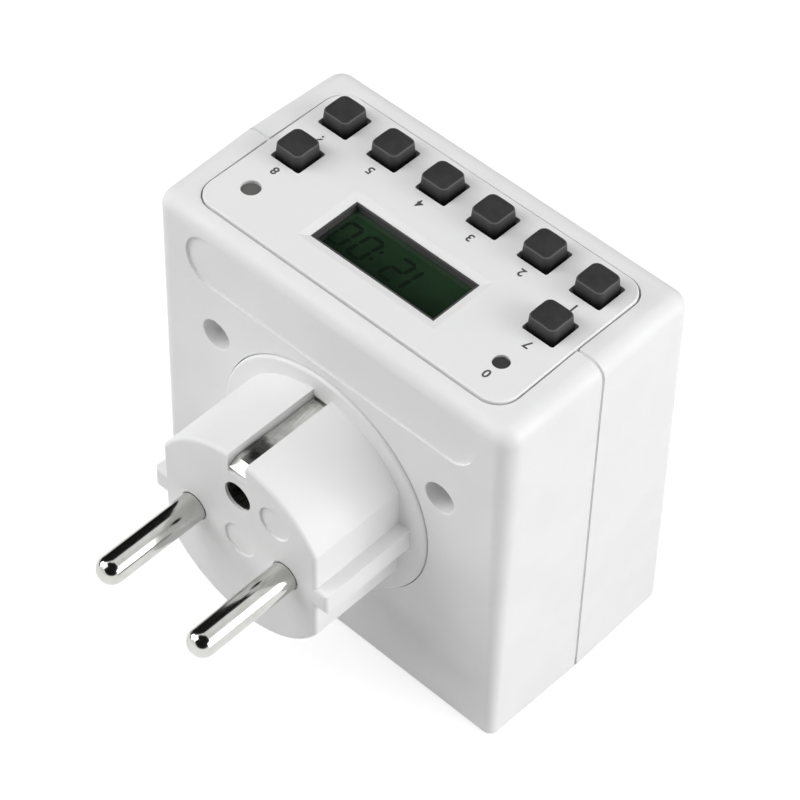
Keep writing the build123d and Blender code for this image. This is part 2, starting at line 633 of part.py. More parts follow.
FLANGE_TOP = PANEL_UNDERSIDE - 0.4
FLANGE_THICKNESS = 0.8
PLUNGER_RADIUS = 2.4
PLUNGER_END = CONTROL_BOARD_TOP + KEY_TRAVEL + 0.15
KEY_TOP = PANEL_TOP + KEY_PROUD
KEY_EDGE_RADIUS = 0.3


def key_cap(x, y):
    """A square rubber key: a tapered, domed head, a flange under the panel and a round plunger."""
    with BuildPart() as key:
        with BuildSketch(Plane.XY.offset(FLANGE_TOP)):
            with Locations((x, y)):
                RectangleRounded(KEY_FOOT, KEY_FOOT, KEY_FOOT_CORNER)
        with BuildSketch(Plane.XY.offset(KEY_TOP)):
            with Locations((x, y)):
                RectangleRounded(KEY_HEAD, KEY_HEAD, KEY_HEAD_CORNER)
        loft()
        with Locations((x, y, KEY_TOP - KEY_DOME_RADIUS)):
            Sphere(KEY_DOME_RADIUS, mode=Mode.INTERSECT)
        fillet(key.faces().sort_by(Axis.Z)[-1].edges(), KEY_EDGE_RADIUS)
        with BuildSketch(Plane.XY.offset(FLANGE_TOP)):
            with Locations((x, y)):
                RectangleRounded(KEY_FLANGE, KEY_FLANGE, 0.6)
        extrude(amount=-FLANGE_THICKNESS)
        with BuildSketch(Plane.XY.offset(PLUNGER_END)):
            with Locations((x, y)):
                Circle(PLUNGER_RADIUS)
        extrude(amount=FLANGE_TOP - FLANGE_THICKNESS - PLUNGER_END)
    return key.part


for key_name, (key_x, key_y) in KEYS.items():
    cap = key_cap(key_x, key_y)
    cap.label = key_name
    export_step(cap, f"parts/{key_name}.step")

MAT_THICKNESS = 1.0
MAT_TOP = CONTROL_BOARD_TOP + MAT_THICKNESS
MAT_ARM_WIDTH = 7.0
RESET_FLANGE_RADIUS = 2.2
RESET_TOP = PANEL_TOP - 0.15

with BuildPart() as reset_button:
    with BuildSketch(Plane.XY.offset(MAT_TOP)):
        with Locations((RESET_X, LAMP_ROW_Y)):
            Circle(RESET_RADIUS)
    extrude(amount=RESET_TOP - MAT_TOP)
    fillet(reset_button.faces().sort_by(Axis.Z)[-1].edges(), 0.15)
    with BuildSketch(Plane.XY.offset(FLANGE_TOP)):
        with Locations((RESET_X, LAMP_ROW_Y)):
            Circle(RESET_FLANGE_RADIUS)
    extrude(amount=-FLANGE_THICKNESS)
reset_button.part.label = "reset_button"
export_step(reset_button.part, "parts/reset_button.step")

with BuildPart() as keypad_mat:
    with BuildSketch(Plane.XY.offset(CONTROL_BOARD_TOP)):
        with Locations((0, FIRST_ROW_Y)):
            RectangleRounded(5 * KEY_PITCH + 7.2, MAT_ARM_WIDTH, 1.0)
        with Locations((24.9, -37.7), (-24.9, -37.7)):
            RectangleRounded(MAT_ARM_WIDTH, 27.6, 1.0)
    extrude(amount=MAT_THICKNESS)
    with BuildSketch(Plane.XY.offset(MAT_TOP)):
        with Locations(*KEYS.values()):
            Circle(PLUNGER_RADIUS + 1.0)
        with Locations((RESET_X, LAMP_ROW_Y)):
            Circle(RESET_RADIUS + 1.5)
    extrude(amount=0.35)
    with BuildSketch(Plane.XY.offset(CONTROL_BOARD_TOP)):
        with Locations(*KEYS.values()):
            Circle(PLUNGER_RADIUS + 0.4)
        with Locations((RESET_X, LAMP_ROW_Y)):
            Circle(RESET_RADIUS + 0.5)
        with Locations((LED_X, LAMP_ROW_Y)):
            Circle(LAMP_HOLE_RADIUS + 0.6)
    extrude(amount=2 * MAT_THICKNESS, mode=Mode.SUBTRACT)
keypad_mat.part.label = "keypad_mat"
export_step(keypad_mat.part, "parts/keypad_mat.step")

# ---------------------------------------------------------------- display and lamp

LCD_LIP_WIDTH = 0.35
GLASS_WIDTH = 30.2
GLASS_DEPTH = 11.2
GLASS_THICKNESS = 1.48
GLASS_BOTTOM = DISPLAY_TOP - 1.5

with BuildPart() as lcd_frame:
    with BuildSketch(Plane.XY.offset(CONTROL_BOARD_TOP + 0.05)):
        with Locations((0, WINDOW_MIDDLE_Y)):
            Rectangle(LCD_FRAME_WIDTH, LCD_FRAME_DEPTH)
            Rectangle(GLASS_WIDTH + 0.2, GLASS_DEPTH + 0.2, mode=Mode.SUBTRACT)
    extrude(amount=DISPLAY_TOP - CONTROL_BOARD_TOP)
    sight_width = 2 * (WINDOW_HALF - LCD_LIP_WIDTH)
    sight_depth = WINDOW_DEPTH - 2 * LCD_LIP_WIDTH
    with BuildSketch(Plane.XY.offset(DISPLAY_TOP)):
        with Locations((0, WINDOW_MIDDLE_Y)):
            Rectangle(LCD_FRAME_WIDTH, LCD_FRAME_DEPTH)
            Rectangle(sight_width, sight_depth, mode=Mode.SUBTRACT)
    extrude(amount=0.2)
    with BuildSketch(Plane.XY.offset(DISPLAY_TOP)):
        with Locations((0, WINDOW_MIDDLE_Y)):
            Rectangle(2 * WINDOW_HALF - 0.1, WINDOW_DEPTH - 0.1)
            Rectangle(sight_width, sight_depth, mode=Mode.SUBTRACT)
    extrude(amount=DISPLAY_SINK - WINDOW_BEVEL_DEPTH - 0.05)
lcd_frame.part.label = "lcd_frame"
export_step(lcd_frame.part, "parts/lcd_frame.step")

with BuildPart() as lcd_glass:
    with BuildSketch(Plane.XY.offset(GLASS_BOTTOM)):
        with Locations((0, WINDOW_MIDDLE_Y)):
            Rectangle(GLASS_WIDTH, GLASS_DEPTH)
    extrude(amount=GLASS_THICKNESS)
lcd_glass.part.label = "lcd_glass"
export_step(lcd_glass.part, "parts/lcd_glass.step")

ZEBRA_OFFSET = 4.6
ZEBRA_LENGTH = 28.0
ZEBRA_WIDTH = 1.8

for strip_name, strip_side in (("front", -1), ("rear", 1)):
    with BuildPart() as zebra_strip:
        with BuildSketch(Plane.XY.offset(CONTROL_BOARD_TOP)):
            with Locations((0, WINDOW_MIDDLE_Y + strip_side * ZEBRA_OFFSET)):
                Rectangle(ZEBRA_LENGTH, ZEBRA_WIDTH)
        extrude(amount=GLASS_BOTTOM - CONTROL_BOARD_TOP)
    zebra_strip.part.label = f"zebra_strip_{strip_name}"
    export_step(zebra_strip.part, f"parts/zebra_strip_{strip_name}.step")

LED_RADIUS = 1.5
LED_TOP = PANEL_TOP - 0.35
LED_BASE_Z = 31.0
LED_LEG_OFFSET = 1.27

with BuildPart() as status_led:
    with BuildSketch(Plane.XY.offset(LED_BASE_Z)):
        with Locations((LED_X, LAMP_ROW_Y)):
            Circle(LED_RADIUS)
    extrude(amount=LED_TOP - LED_BASE_Z)
    fillet(status_led.faces().sort_by(Axis.Z)[-1].edges(), 0.3)
    with BuildSketch(Plane.XY.offset(LED_BASE_Z)):
        with Locations((LED_X, LAMP_ROW_Y)):
            Circle(LED_RADIUS + 0.4)
    extrude(amount=1.0)
    with BuildSketch(Plane.XY.offset(CONTROL_BOARD_TOP)):
        with Locations((LED_X - LED_LEG_OFFSET, LAMP_ROW_Y), (LED_X + LED_LEG_OFFSET, LAMP_ROW_Y)):
            Rectangle(0.5, 0.5)
    extrude(amount=LED_BASE_Z + 0.1 - CONTROL_BOARD_TOP)
status_led.part.label = "status_led"
export_step(status_led.part, "parts/status_led.step")

# ---------------------------------------------------------------- control board

BOARD_CORNER = 1.0
CONTROL_SCREW_HEAD = 1.2

with BuildPart() as control_pcb:
    with BuildSketch(Plane.XY.offset(CONTROL_BOARD_BOTTOM)):
        with Locations((0, PANEL_MIDDLE_Y)):
            RectangleRounded(56.6, 28.2, BOARD_CORNER)
        with Locations(*POST_PLACES):
            Circle(POST_HOLE_RADIUS + 0.2, mode=Mode.SUBTRACT)
    extrude(amount=BOARD_THICKNESS)
control_pcb.part.label = "control_pcb"
export_step(control_pcb.part, "parts/control_pcb.step")

with BuildPart() as control_pcb_screws:
    with BuildSketch(Plane.XY.offset(CONTROL_BOARD_BOTTOM - CONTROL_SCREW_HEAD)):
        with Locations(*POST_PLACES):
            Circle(1.9)
    extrude(amount=CONTROL_SCREW_HEAD)
    with BuildSketch(Plane.XY.offset(CONTROL_BOARD_BOTTOM - CONTROL_SCREW_HEAD)):
        with Locations(*POST_PLACES):
            Rectangle(2.2, 0.5)
            Rectangle(0.5, 2.2)
    extrude(amount=0.7, mode=Mode.SUBTRACT)
    with BuildSketch(Plane.XY.offset(CONTROL_BOARD_BOTTOM)):
        with Locations(*POST_PLACES):
            Circle(POST_HOLE_RADIUS - 0.03)
    extrude(amount=BOARD_THICKNESS + POST_HOLE_DEPTH - 0.7)
control_pcb_screws.part.label = "control_pcb_screws"
export_step(control_pcb_screws.part, "parts/control_pcb_screws.step")

CHIP_PLACE = (7.0, -32.0)
CHIP_RADIUS = 5.0
CHIP_HEIGHT = 1.5

with BuildPart() as controller_chip:
    with BuildSketch(Plane.XY.offset(CONTROL_BOARD_BOTTOM)):
        with Locations(CHIP_PLACE):
            Circle(CHIP_RADIUS)
    extrude(amount=-CHIP_HEIGHT)
    fillet(controller_chip.faces().sort_by(Axis.Z)[0].edges(), CHIP_HEIGHT - 0.2)
controller_chip.part.label = "controller_chip"
export_step(controller_chip.part, "parts/controller_chip.step")

CRYSTAL_X = 8.0
CRYSTAL_START_Y = -41.0
CRYSTAL_RADIUS = 1.0
CRYSTAL_LENGTH = 6.0

with BuildPart() as clock_crystal:
    with BuildSketch(across(CRYSTAL_START_Y)):
        with Locations((CRYSTAL_X, CONTROL_BOARD_BOTTOM - CRYSTAL_RADIUS - 0.05)):
            Circle(CRYSTAL_RADIUS)
    extrude(amount=CRYSTAL_LENGTH)
clock_crystal.part.label = "clock_crystal"
export_step(clock_crystal.part, "parts/clock_crystal.step")

BATTERY_PLACE = (-12.0, -35.5)
BATTERY_RADIUS = 5.8
BATTERY_HEIGHT = 5.3

with BuildPart() as backup_battery:
    with BuildSketch(Plane.XY.offset(CONTROL_BOARD_BOTTOM - BATTERY_HEIGHT - 0.1)):
        with Locations(BATTERY_PLACE):
            Circle(BATTERY_RADIUS)
    extrude(amount=BATTERY_HEIGHT)
    fillet(backup_battery.edges().filter_by(GeomType.CIRCLE), 0.6)
backup_battery.part.label = "backup_battery"
export_step(backup_battery.part, "parts/backup_battery.step")

# ---------------------------------------------------------------- power board

POWER_BOARD_MIDDLE_Y = -38.6
POWER_SCREW_HEAD = 1.3
POWER_SCREW_LENGTH = BOARD_THICKNESS + 2.1

with BuildPart() as power_pcb:
    with BuildSketch(Plane.XY.offset(POWER_BOARD_TOP - BOARD_THICKNESS)):
        with Locations((0, POWER_BOARD_MIDDLE_Y)):
            RectangleRounded(64.0, 31.6, BOARD_CORNER)
        with Locations(*POWER_SCREW_PLACES):
            Circle(STANDOFF_HOLE_RADIUS + 0.25, mode=Mode.SUBTRACT)
    extrude(amount=BOARD_THICKNESS)
power_pcb.part.label = "power_pcb"
export_step(power_pcb.part, "parts/power_pcb.step")

with BuildPart() as power_pcb_screws:
    with BuildSketch(Plane.XY.offset(POWER_BOARD_TOP)):
        with Locations(*POWER_SCREW_PLACES):
            Circle(2.0)
    extrude(amount=POWER_SCREW_HEAD)
    with BuildSketch(Plane.XY.offset(POWER_BOARD_TOP + POWER_SCREW_HEAD)):
        with Locations(*POWER_SCREW_PLACES):
            Rectangle(2.4, 0.5)
            Rectangle(0.5, 2.4)
    extrude(amount=-0.7, mode=Mode.SUBTRACT)
    with BuildSketch(Plane.XY.offset(POWER_BOARD_TOP)):
        with Locations(*POWER_SCREW_PLACES):
            Circle(STANDOFF_HOLE_RADIUS - 0.03)
    extrude(amount=-POWER_SCREW_LENGTH)
power_pcb_screws.part.label = "power_pcb_screws"
export_step(power_pcb_screws.part, "parts/power_pcb_screws.step")

with BuildPart() as relay:
    box_between((19.5, 32.2), (-53.5, -24.5), (POWER_BOARD_TOP, POWER_BOARD_TOP + 15.7))
    fillet(relay.edges().filter_by(Axis.Z), 0.5)
relay.part.label = "relay"
export_step(relay.part, "parts/relay.step")

with BuildPart() as x2_capacitor:
    box_between((-31.6, -22.6), (-51.0, -33.0), (POWER_BOARD_TOP, POWER_BOARD_TOP + 16.0))
    fillet(x2_capacitor.edges().filter_by(Axis.Z), 0.5)
x2_capacitor.part.label = "x2_capacitor"
export_step(x2_capacitor.part, "parts/x2_capacitor.step")

with BuildPart() as electrolytic_capacitor:
    with BuildSketch(Plane.XY.offset(POWER_BOARD_TOP)):
        with Locations((-14.0, -29.5)):
            Circle(4.0)
    extrude(amount=12.0)
    fillet(electrolytic_capacitor.faces().sort_by(Axis.Z)[-1].edges(), 0.4)
electrolytic_capacitor.part.label = "electrolytic_capacitor"
export_step(electrolytic_capacitor.part, "parts/electrolytic_capacitor.step")

with BuildPart() as bridge_rectifier:
    box_between((1.0, 9.5), (-51.0, -44.5), (POWER_BOARD_TOP, POWER_BOARD_TOP + 3.3))
bridge_rectifier.part.label = "bridge_rectifier"
export_step(bridge_rectifier.part, "parts/bridge_rectifier.step")

LEAD_HALF = 0.3


def axial_part(x, y, length, radius):
    """A round component lying along Y on the power board, with two bent leads."""
    axis_z = POWER_BOARD_TOP + radius + 0.4
    lead_x = (x - LEAD_HALF, x + LEAD_HALF)
    with BuildPart() as body:
        with BuildSketch(across(y + length / 2)):
            with Locations((x, axis_z)):
                Circle(radius)
        extrude(amount=length)
        fillet(body.edges().filter_by(GeomType.CIRCLE), 0.3)
        for end in (-1, 1):
            lead_end = y + end * (length / 2 + 1.5)
            bend_y = sorted((lead_end, lead_end - end * 2 * LEAD_HALF))
            box_between(lead_x, sorted((y, lead_end)), (axis_z - LEAD_HALF, axis_z + LEAD_HALF))
            box_between(lead_x, bend_y, (POWER_BOARD_TOP, axis_z))
    return body.part


AXIAL_PARTS = {
    "dropper_resistor": (-10.5, -45.5, 11.0, 2.2),
    "fuse_resistor": (-4.0, -45.5, 9.0, 1.7),
    "zener_diode": (12.0, -36.5, 5.0, 1.35),
}
for part_name, place in AXIAL_PARTS.items():
    component = axial_part(*place)
    component.label = part_name
    export_step(component, f"parts/{part_name}.step")

TRANSISTOR_X = -3.0
TRANSISTOR_Y = -33.0
TRANSISTOR_RADIUS = 2.3
TRANSISTOR_LEG_PITCH = 1.3

with BuildPart() as relay_transistor:
    with BuildSketch(Plane.XY.offset(POWER_BOARD_TOP + 1.5)):
        with Locations((TRANSISTOR_X, TRANSISTOR_Y)):
            Circle(TRANSISTOR_RADIUS)
        with Locations((TRANSISTOR_X, TRANSISTOR_Y - 2.5)):
            Rectangle(5.0, 2.5, mode=Mode.SUBTRACT)
    extrude(amount=2 * TRANSISTOR_RADIUS)
    with BuildSketch(Plane.XY.offset(POWER_BOARD_TOP)):
        for leg in (-1, 0, 1):
            with Locations((TRANSISTOR_X + leg * TRANSISTOR_LEG_PITCH, TRANSISTOR_Y)):
                Rectangle(0.45, 0.45)
    extrude(amount=1.6)
relay_transistor.part.label = "relay_transistor"
export_step(relay_transistor.part, "parts/relay_transistor.step")

# ---------------------------------------------------------------- outlet

EARTH_COLLAR_RADIUS = 3.4
EARTH_COLLAR_THICKNESS = 1.5
EARTH_RIVET_RADIUS = 1.6
STRAP_THICKNESS = 0.8
STRAP_HALF = 1.8
STRAP_TOP = 13.4

with BuildPart() as outlet_earth_pin:
    collar_back_y = FLOOR_BACK_Y + EARTH_COLLAR_THICKNESS
    with BuildSketch(across(collar_back_y)):
        with Locations(EARTH_PLACE):
            Circle(EARTH_COLLAR_RADIUS)
    extrude(amount=EARTH_COLLAR_THICKNESS)
    with BuildSketch(across(collar_back_y + 2.5)):
        with Locations(EARTH_PLACE):
            Circle(EARTH_RIVET_RADIUS)
    extrude(amount=2.5)
    with BuildSketch(across(FLOOR_BACK_Y)):
        with Locations(EARTH_PLACE):
            Circle(PIN_NECK_RADIUS)
    extrude(amount=WALL)
    with BuildSketch(across(FLOOR_Y)):
        with Locations(EARTH_PLACE):
            Circle(PIN_RADIUS)
    extrude(amount=EARTH_PIN_LENGTH)
    pin_end_y = FLOOR_Y - EARTH_PIN_LENGTH
    fillet(outlet_earth_pin.edges().filter_by_position(Axis.Y, pin_end_y, pin_end_y), PIN_TIP_RADIUS)
outlet_earth_pin.part.label = "outlet_earth_pin"
export_step(outlet_earth_pin.part, "parts/outlet_earth_pin.step")

with BuildPart() as earth_strap:
    strap_start_y = FLOOR_BACK_Y + EARTH_COLLAR_THICKNESS
    strap_end_y = EARTH_BASE_Y - EARTH_STRIP_THICKNESS / 2
    eye_z = (EARTH_OFFSET - 3.2, STRAP_TOP)
    box_between((-3.0, 3.0), (strap_start_y, strap_start_y + STRAP_THICKNESS), eye_z)
    with BuildSketch(across(strap_start_y + 1.5)):
        with Locations(EARTH_PLACE):
            Circle(EARTH_RIVET_RADIUS + 0.02)
    extrude(amount=3, mode=Mode.SUBTRACT)
    run_x = (-STRAP_HALF, STRAP_HALF)
    box_between(run_x, (strap_start_y, strap_end_y), (STRAP_TOP - STRAP_THICKNESS, STRAP_TOP))
    box_between(run_x, (strap_end_y - STRAP_THICKNESS, strap_end_y), (STRAP_TOP - 3.8, STRAP_TOP))
earth_strap.part.label = "earth_strap"
export_step(earth_strap.part, "parts/earth_strap.step")

CHANNEL_HALF_WIDTH = 3.2
CHANNEL_HALF_HEIGHT = 4.3

with BuildPart() as contact_block:
    box_between((-15.5, 15.5), (BLOCK_FRONT_Y, BLOCK_BACK_Y), (-6.5, 6.5))
    for side in (-1, 1):
        channel_x = (side * PIN_X - CHANNEL_HALF_WIDTH, side * PIN_X + CHANNEL_HALF_WIDTH)
        channel_z = (-CHANNEL_HALF_HEIGHT, CHANNEL_HALF_HEIGHT)
        box_between(channel_x, (-40, -20), channel_z, Mode.SUBTRACT)
    box_between((-2.4, 2.4), (EARTH_BASE_Y - 0.7, -20), (-7, 7), Mode.SUBTRACT)
contact_block.part.label = "contact_block"
export_step(contact_block.part, "parts/contact_block.step")

CONTACT_END_Y = -19.4
CONTACT_THROAT_Y = -31.2
CONTACT_HALF_GAP = 2.9
CONTACT_THICKNESS = 0.6


def outlet_contact(x):
    """A folded spring contact: two leaves that close on a pin, joined behind its tip."""
    with BuildPart() as contact:
        with BuildSketch(Plane.YZ.offset(x)):
            with BuildLine():
                Polyline(
                    (CONTACT_THROAT_Y - 2.6, CONTACT_HALF_GAP + 0.3),
                    (CONTACT_THROAT_Y, CONTACT_HALF_GAP - 1.1),
                    (-24.0, CONTACT_HALF_GAP),
                    (CONTACT_END_Y, CONTACT_HALF_GAP),
                    (CONTACT_END_Y, -CONTACT_HALF_GAP),
                    (-24.0, -CONTACT_HALF_GAP),
                    (CONTACT_THROAT_Y, -CONTACT_HALF_GAP + 1.1),
                    (CONTACT_THROAT_Y - 2.6, -CONTACT_HALF_GAP - 0.3),
                )
            trace(line_width=CONTACT_THICKNESS)
        extrude(amount=2.5, both=True)
        tail_y = (CONTACT_END_Y - CONTACT_THICKNESS / 2, CONTACT_END_Y + CONTACT_THICKNESS / 2)
        box_between((x - 1.5, x + 1.5), tail_y, (-6.0, 6.0))
    return contact.part


for side_name, side in (("left", -1), ("right", 1)):
    spring_contact = outlet_contact(side * PIN_X)
    spring_contact.label = f"outlet_contact_{side_name}"
    export_step(spring_contact, f"parts/outlet_contact_{side_name}.step")

# ---------------------------------------------------------------- shutter

with BuildPart() as shutter:
    shutter_y = (SHUTTER_FRONT_Y, SHUTTER_BACK_Y)
    box_between((-SHUTTER_HALF, SHUTTER_HALF), shutter_y, (-SHUTTER_TOP, SHUTTER_TOP))
    ramp_edge = shutter.edges().filter_by(Axis.X).sort_by(Axis.Y)[:2].sort_by(Axis.Z)[-1]
    chamfer(ramp_edge, length=SHUTTER_RAMP)
    box_between((-SHUTTER_TAB_HALF, SHUTTER_TAB_HALF), shutter_y, (SHUTTER_TAB_END, -SHUTTER_TOP))
shutter.part.label = "shutter"
export_step(shutter.part, "parts/shutter.step")

SPRING_LOW = SPRING_SEAT_TOP + 0.3
SPRING_HIGH = SHUTTER_TAB_END - 0.3
SPRING_TURNS = 5
SPRING_RADIUS = 1.1
SPRING_WIRE_RADIUS = 0.22

with BuildPart() as shutter_spring:
    with BuildLine() as coil:
        Helix(
            pitch=(SPRING_HIGH - SPRING_LOW) / SPRING_TURNS,
            height=SPRING_HIGH - SPRING_LOW,
            radius=SPRING_RADIUS,
            center=(0, (SHUTTER_FRONT_Y + SHUTTER_BACK_Y) / 2, SPRING_LOW),
        )
    with BuildSketch(Plane(origin=coil.line @ 0, z_dir=coil.line % 0)):
        Circle(SPRING_WIRE_RADIUS)
    sweep()
shutter_spring.part.label = "shutter_spring"
export_step(shutter_spring.part, "parts/shutter_spring.step")

# ---------------------------------------------------------------- wires

RIBBON_X = -26.0
RIBBON_LOW_X = -30.0
RIBBON_BEND_Z = 25.4
RIBBON_START_Y = -24.9
RIBBON_WIDTH = 6.4
RIBBON_THICKNESS = 1.1

with BuildPart() as ribbon_cable:
    with BuildSketch(across(RIBBON_START_Y)):
        with BuildLine():
            Polyline(
                (RIBBON_X, CONTROL_BOARD_BOTTOM),
                (RIBBON_X, RIBBON_BEND_Z),
                (RIBBON_LOW_X, RIBBON_BEND_Z),
                (RIBBON_LOW_X, POWER_BOARD_TOP),
            )
        trace(line_width=RIBBON_THICKNESS)
    extrude(amount=RIBBON_WIDTH)
ribbon_cable.part.label = "ribbon_cable"
export_step(ribbon_cable.part, "parts/ribbon_cable.step")

WIRE_RADIUS = 1.1
THIN_WIRE_RADIUS = 0.7
WIRE_BEND_RADIUS = 1.2
WIRE_LEVEL = -8.7
PIN_TAIL_Y = -8.8
CONTACT_TAIL_Z = 6.05

LIVE_IN_ROUTE = [
    (PIN_X, PIN_TAIL_Y, 0),
    (PIN_X, -12.6, 0),
    (5.4, -12.6, WIRE_LEVEL),
    (5.4, -28.0, WIRE_LEVEL),
    (5.4, -28.0, POWER_BOARD_TOP),
]
LIVE_OUT_ROUTE = [
    (9.9, CONTACT_END_Y, -CONTACT_TAIL_Z),
    (9.9, CONTACT_END_Y, WIRE_LEVEL),
    (9.9, -26.5, WIRE_LEVEL),
    (9.9, -26.5, POWER_BOARD_TOP),
]
NEUTRAL_LINK_ROUTE = [
    (-PIN_X, PIN_TAIL_Y, 0),
    (-PIN_X, -13.5, 0),
    (-PIN_X, -15.5, 7.6),
    (-PIN_X, CONTACT_END_Y, 7.6),
    (-PIN_X, CONTACT_END_Y, CONTACT_TAIL_Z),
]
NEUTRAL_SUPPLY_ROUTE = [
    (-9.9, CONTACT_END_Y, -CONTACT_TAIL_Z),
    (-9.9, CONTACT_END_Y, WIRE_LEVEL),
    (-8.4, -26.0, WIRE_LEVEL),
    (-8.4, -26.0, POWER_BOARD_TOP),
]
WIRES = {
    "live_wire_in": (WIRE_RADIUS, LIVE_IN_ROUTE),
    "live_wire_out": (WIRE_RADIUS, LIVE_OUT_ROUTE),
    "neutral_link": (WIRE_RADIUS, NEUTRAL_LINK_ROUTE),
    "neutral_supply_wire": (THIN_WIRE_RADIUS, NEUTRAL_SUPPLY_ROUTE),
}


def wire_along(points, radius):
    """A round insulated wire along straight runs with arcs between them."""
    with BuildPart() as wire:
        with BuildLine() as route:
            FilletPolyline(*points, radius=WIRE_BEND_RADIUS)
        with BuildSketch(Plane(origin=route.line @ 0, z_dir=route.line % 0)):
            Circle(radius)
        sweep()
    return wire.part


for wire_name, (wire_radius, wire_points) in WIRES.items():
    lead = wire_along(wire_points, wire_radius)
    lead.label = wire_name
    export_step(lead, f"parts/{wire_name}.step")
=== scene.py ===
"""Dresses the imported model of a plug-in timer switch and sets it in a plain studio.

Every length is in metres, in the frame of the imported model: +Y runs along the plug's pins into the
wall, +Z is up towards the control panel, and +X is to the right as the user sees the timer.
"""

import logging
import math
from dataclasses import dataclass
from enum import Enum
from typing import Callable

import bmesh
import bpy
from mathutils import Matrix, Vector

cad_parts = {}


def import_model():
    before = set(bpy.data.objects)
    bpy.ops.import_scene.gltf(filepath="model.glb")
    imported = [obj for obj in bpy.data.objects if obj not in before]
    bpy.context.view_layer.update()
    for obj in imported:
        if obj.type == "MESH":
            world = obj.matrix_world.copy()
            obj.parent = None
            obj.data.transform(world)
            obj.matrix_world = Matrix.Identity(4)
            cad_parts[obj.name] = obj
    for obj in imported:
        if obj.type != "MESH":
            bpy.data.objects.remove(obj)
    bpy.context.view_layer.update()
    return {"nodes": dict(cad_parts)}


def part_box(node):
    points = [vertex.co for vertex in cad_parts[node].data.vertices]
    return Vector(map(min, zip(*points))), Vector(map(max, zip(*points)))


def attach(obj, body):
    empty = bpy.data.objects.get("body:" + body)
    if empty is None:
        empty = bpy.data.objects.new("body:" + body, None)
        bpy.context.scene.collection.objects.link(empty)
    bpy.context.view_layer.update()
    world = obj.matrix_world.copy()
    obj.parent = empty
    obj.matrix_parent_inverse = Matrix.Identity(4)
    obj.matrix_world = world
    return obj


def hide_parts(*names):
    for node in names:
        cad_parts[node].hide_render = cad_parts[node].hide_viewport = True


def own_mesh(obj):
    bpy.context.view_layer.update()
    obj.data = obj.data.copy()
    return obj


MM = 0.001
CASE_BODY = "case"
WELD = 0.0005 * MM
NOISE_RANGE = (0.3, 0.7)

Pair = tuple[float, float]
Colour = tuple[float, float, float]
Bands = tuple[tuple[float, Colour], ...]
Point = tuple[float, float, float]
Inputs = dict[str | int, object]
Socket = bpy.types.NodeSocket
Sockets = bpy.types.NodeOutputs
Shape = bmesh.types.BMesh

log = logging.getLogger("timer_switch")


def tone(red: int, green: int, blue: int) -> Colour:
    """Turns a display colour into the linear colour that a shader takes.

    Args:
        red: Red from 0 to 255.
        green: Green from 0 to 255.
        blue: Blue from 0 to 255.

    Returns:
        The linear colour.
    """
    linear = []
    for part in (red, green, blue):
        value = part / 255.0
        linear.append(value / 12.92 if value <= 0.04045 else ((value + 0.055) / 1.055) ** 2.4)
    return linear[0], linear[1], linear[2]


def grey(level: int) -> Colour:
    """Returns the linear colour of a display grey from 0 to 255."""
    return tone(level, level, level)


def darker(colour: Colour, share: float) -> Colour:
    """Returns a colour at a share of its brightness."""
    return share * colour[0], share * colour[1], share * colour[2]


class Along(Enum):
    """The axis that a drawn or brushed finish follows."""

    X = 0
    Y = 1
    Z = 2

    def stretch(self, length: float) -> Point:
        """Returns the factors that make a pattern so many times longer along this axis."""
        factors = [1.0 / length if axis is self else 1.0 for axis in Along]
        return factors[0], factors[1], factors[2]


# ---- shader graphs


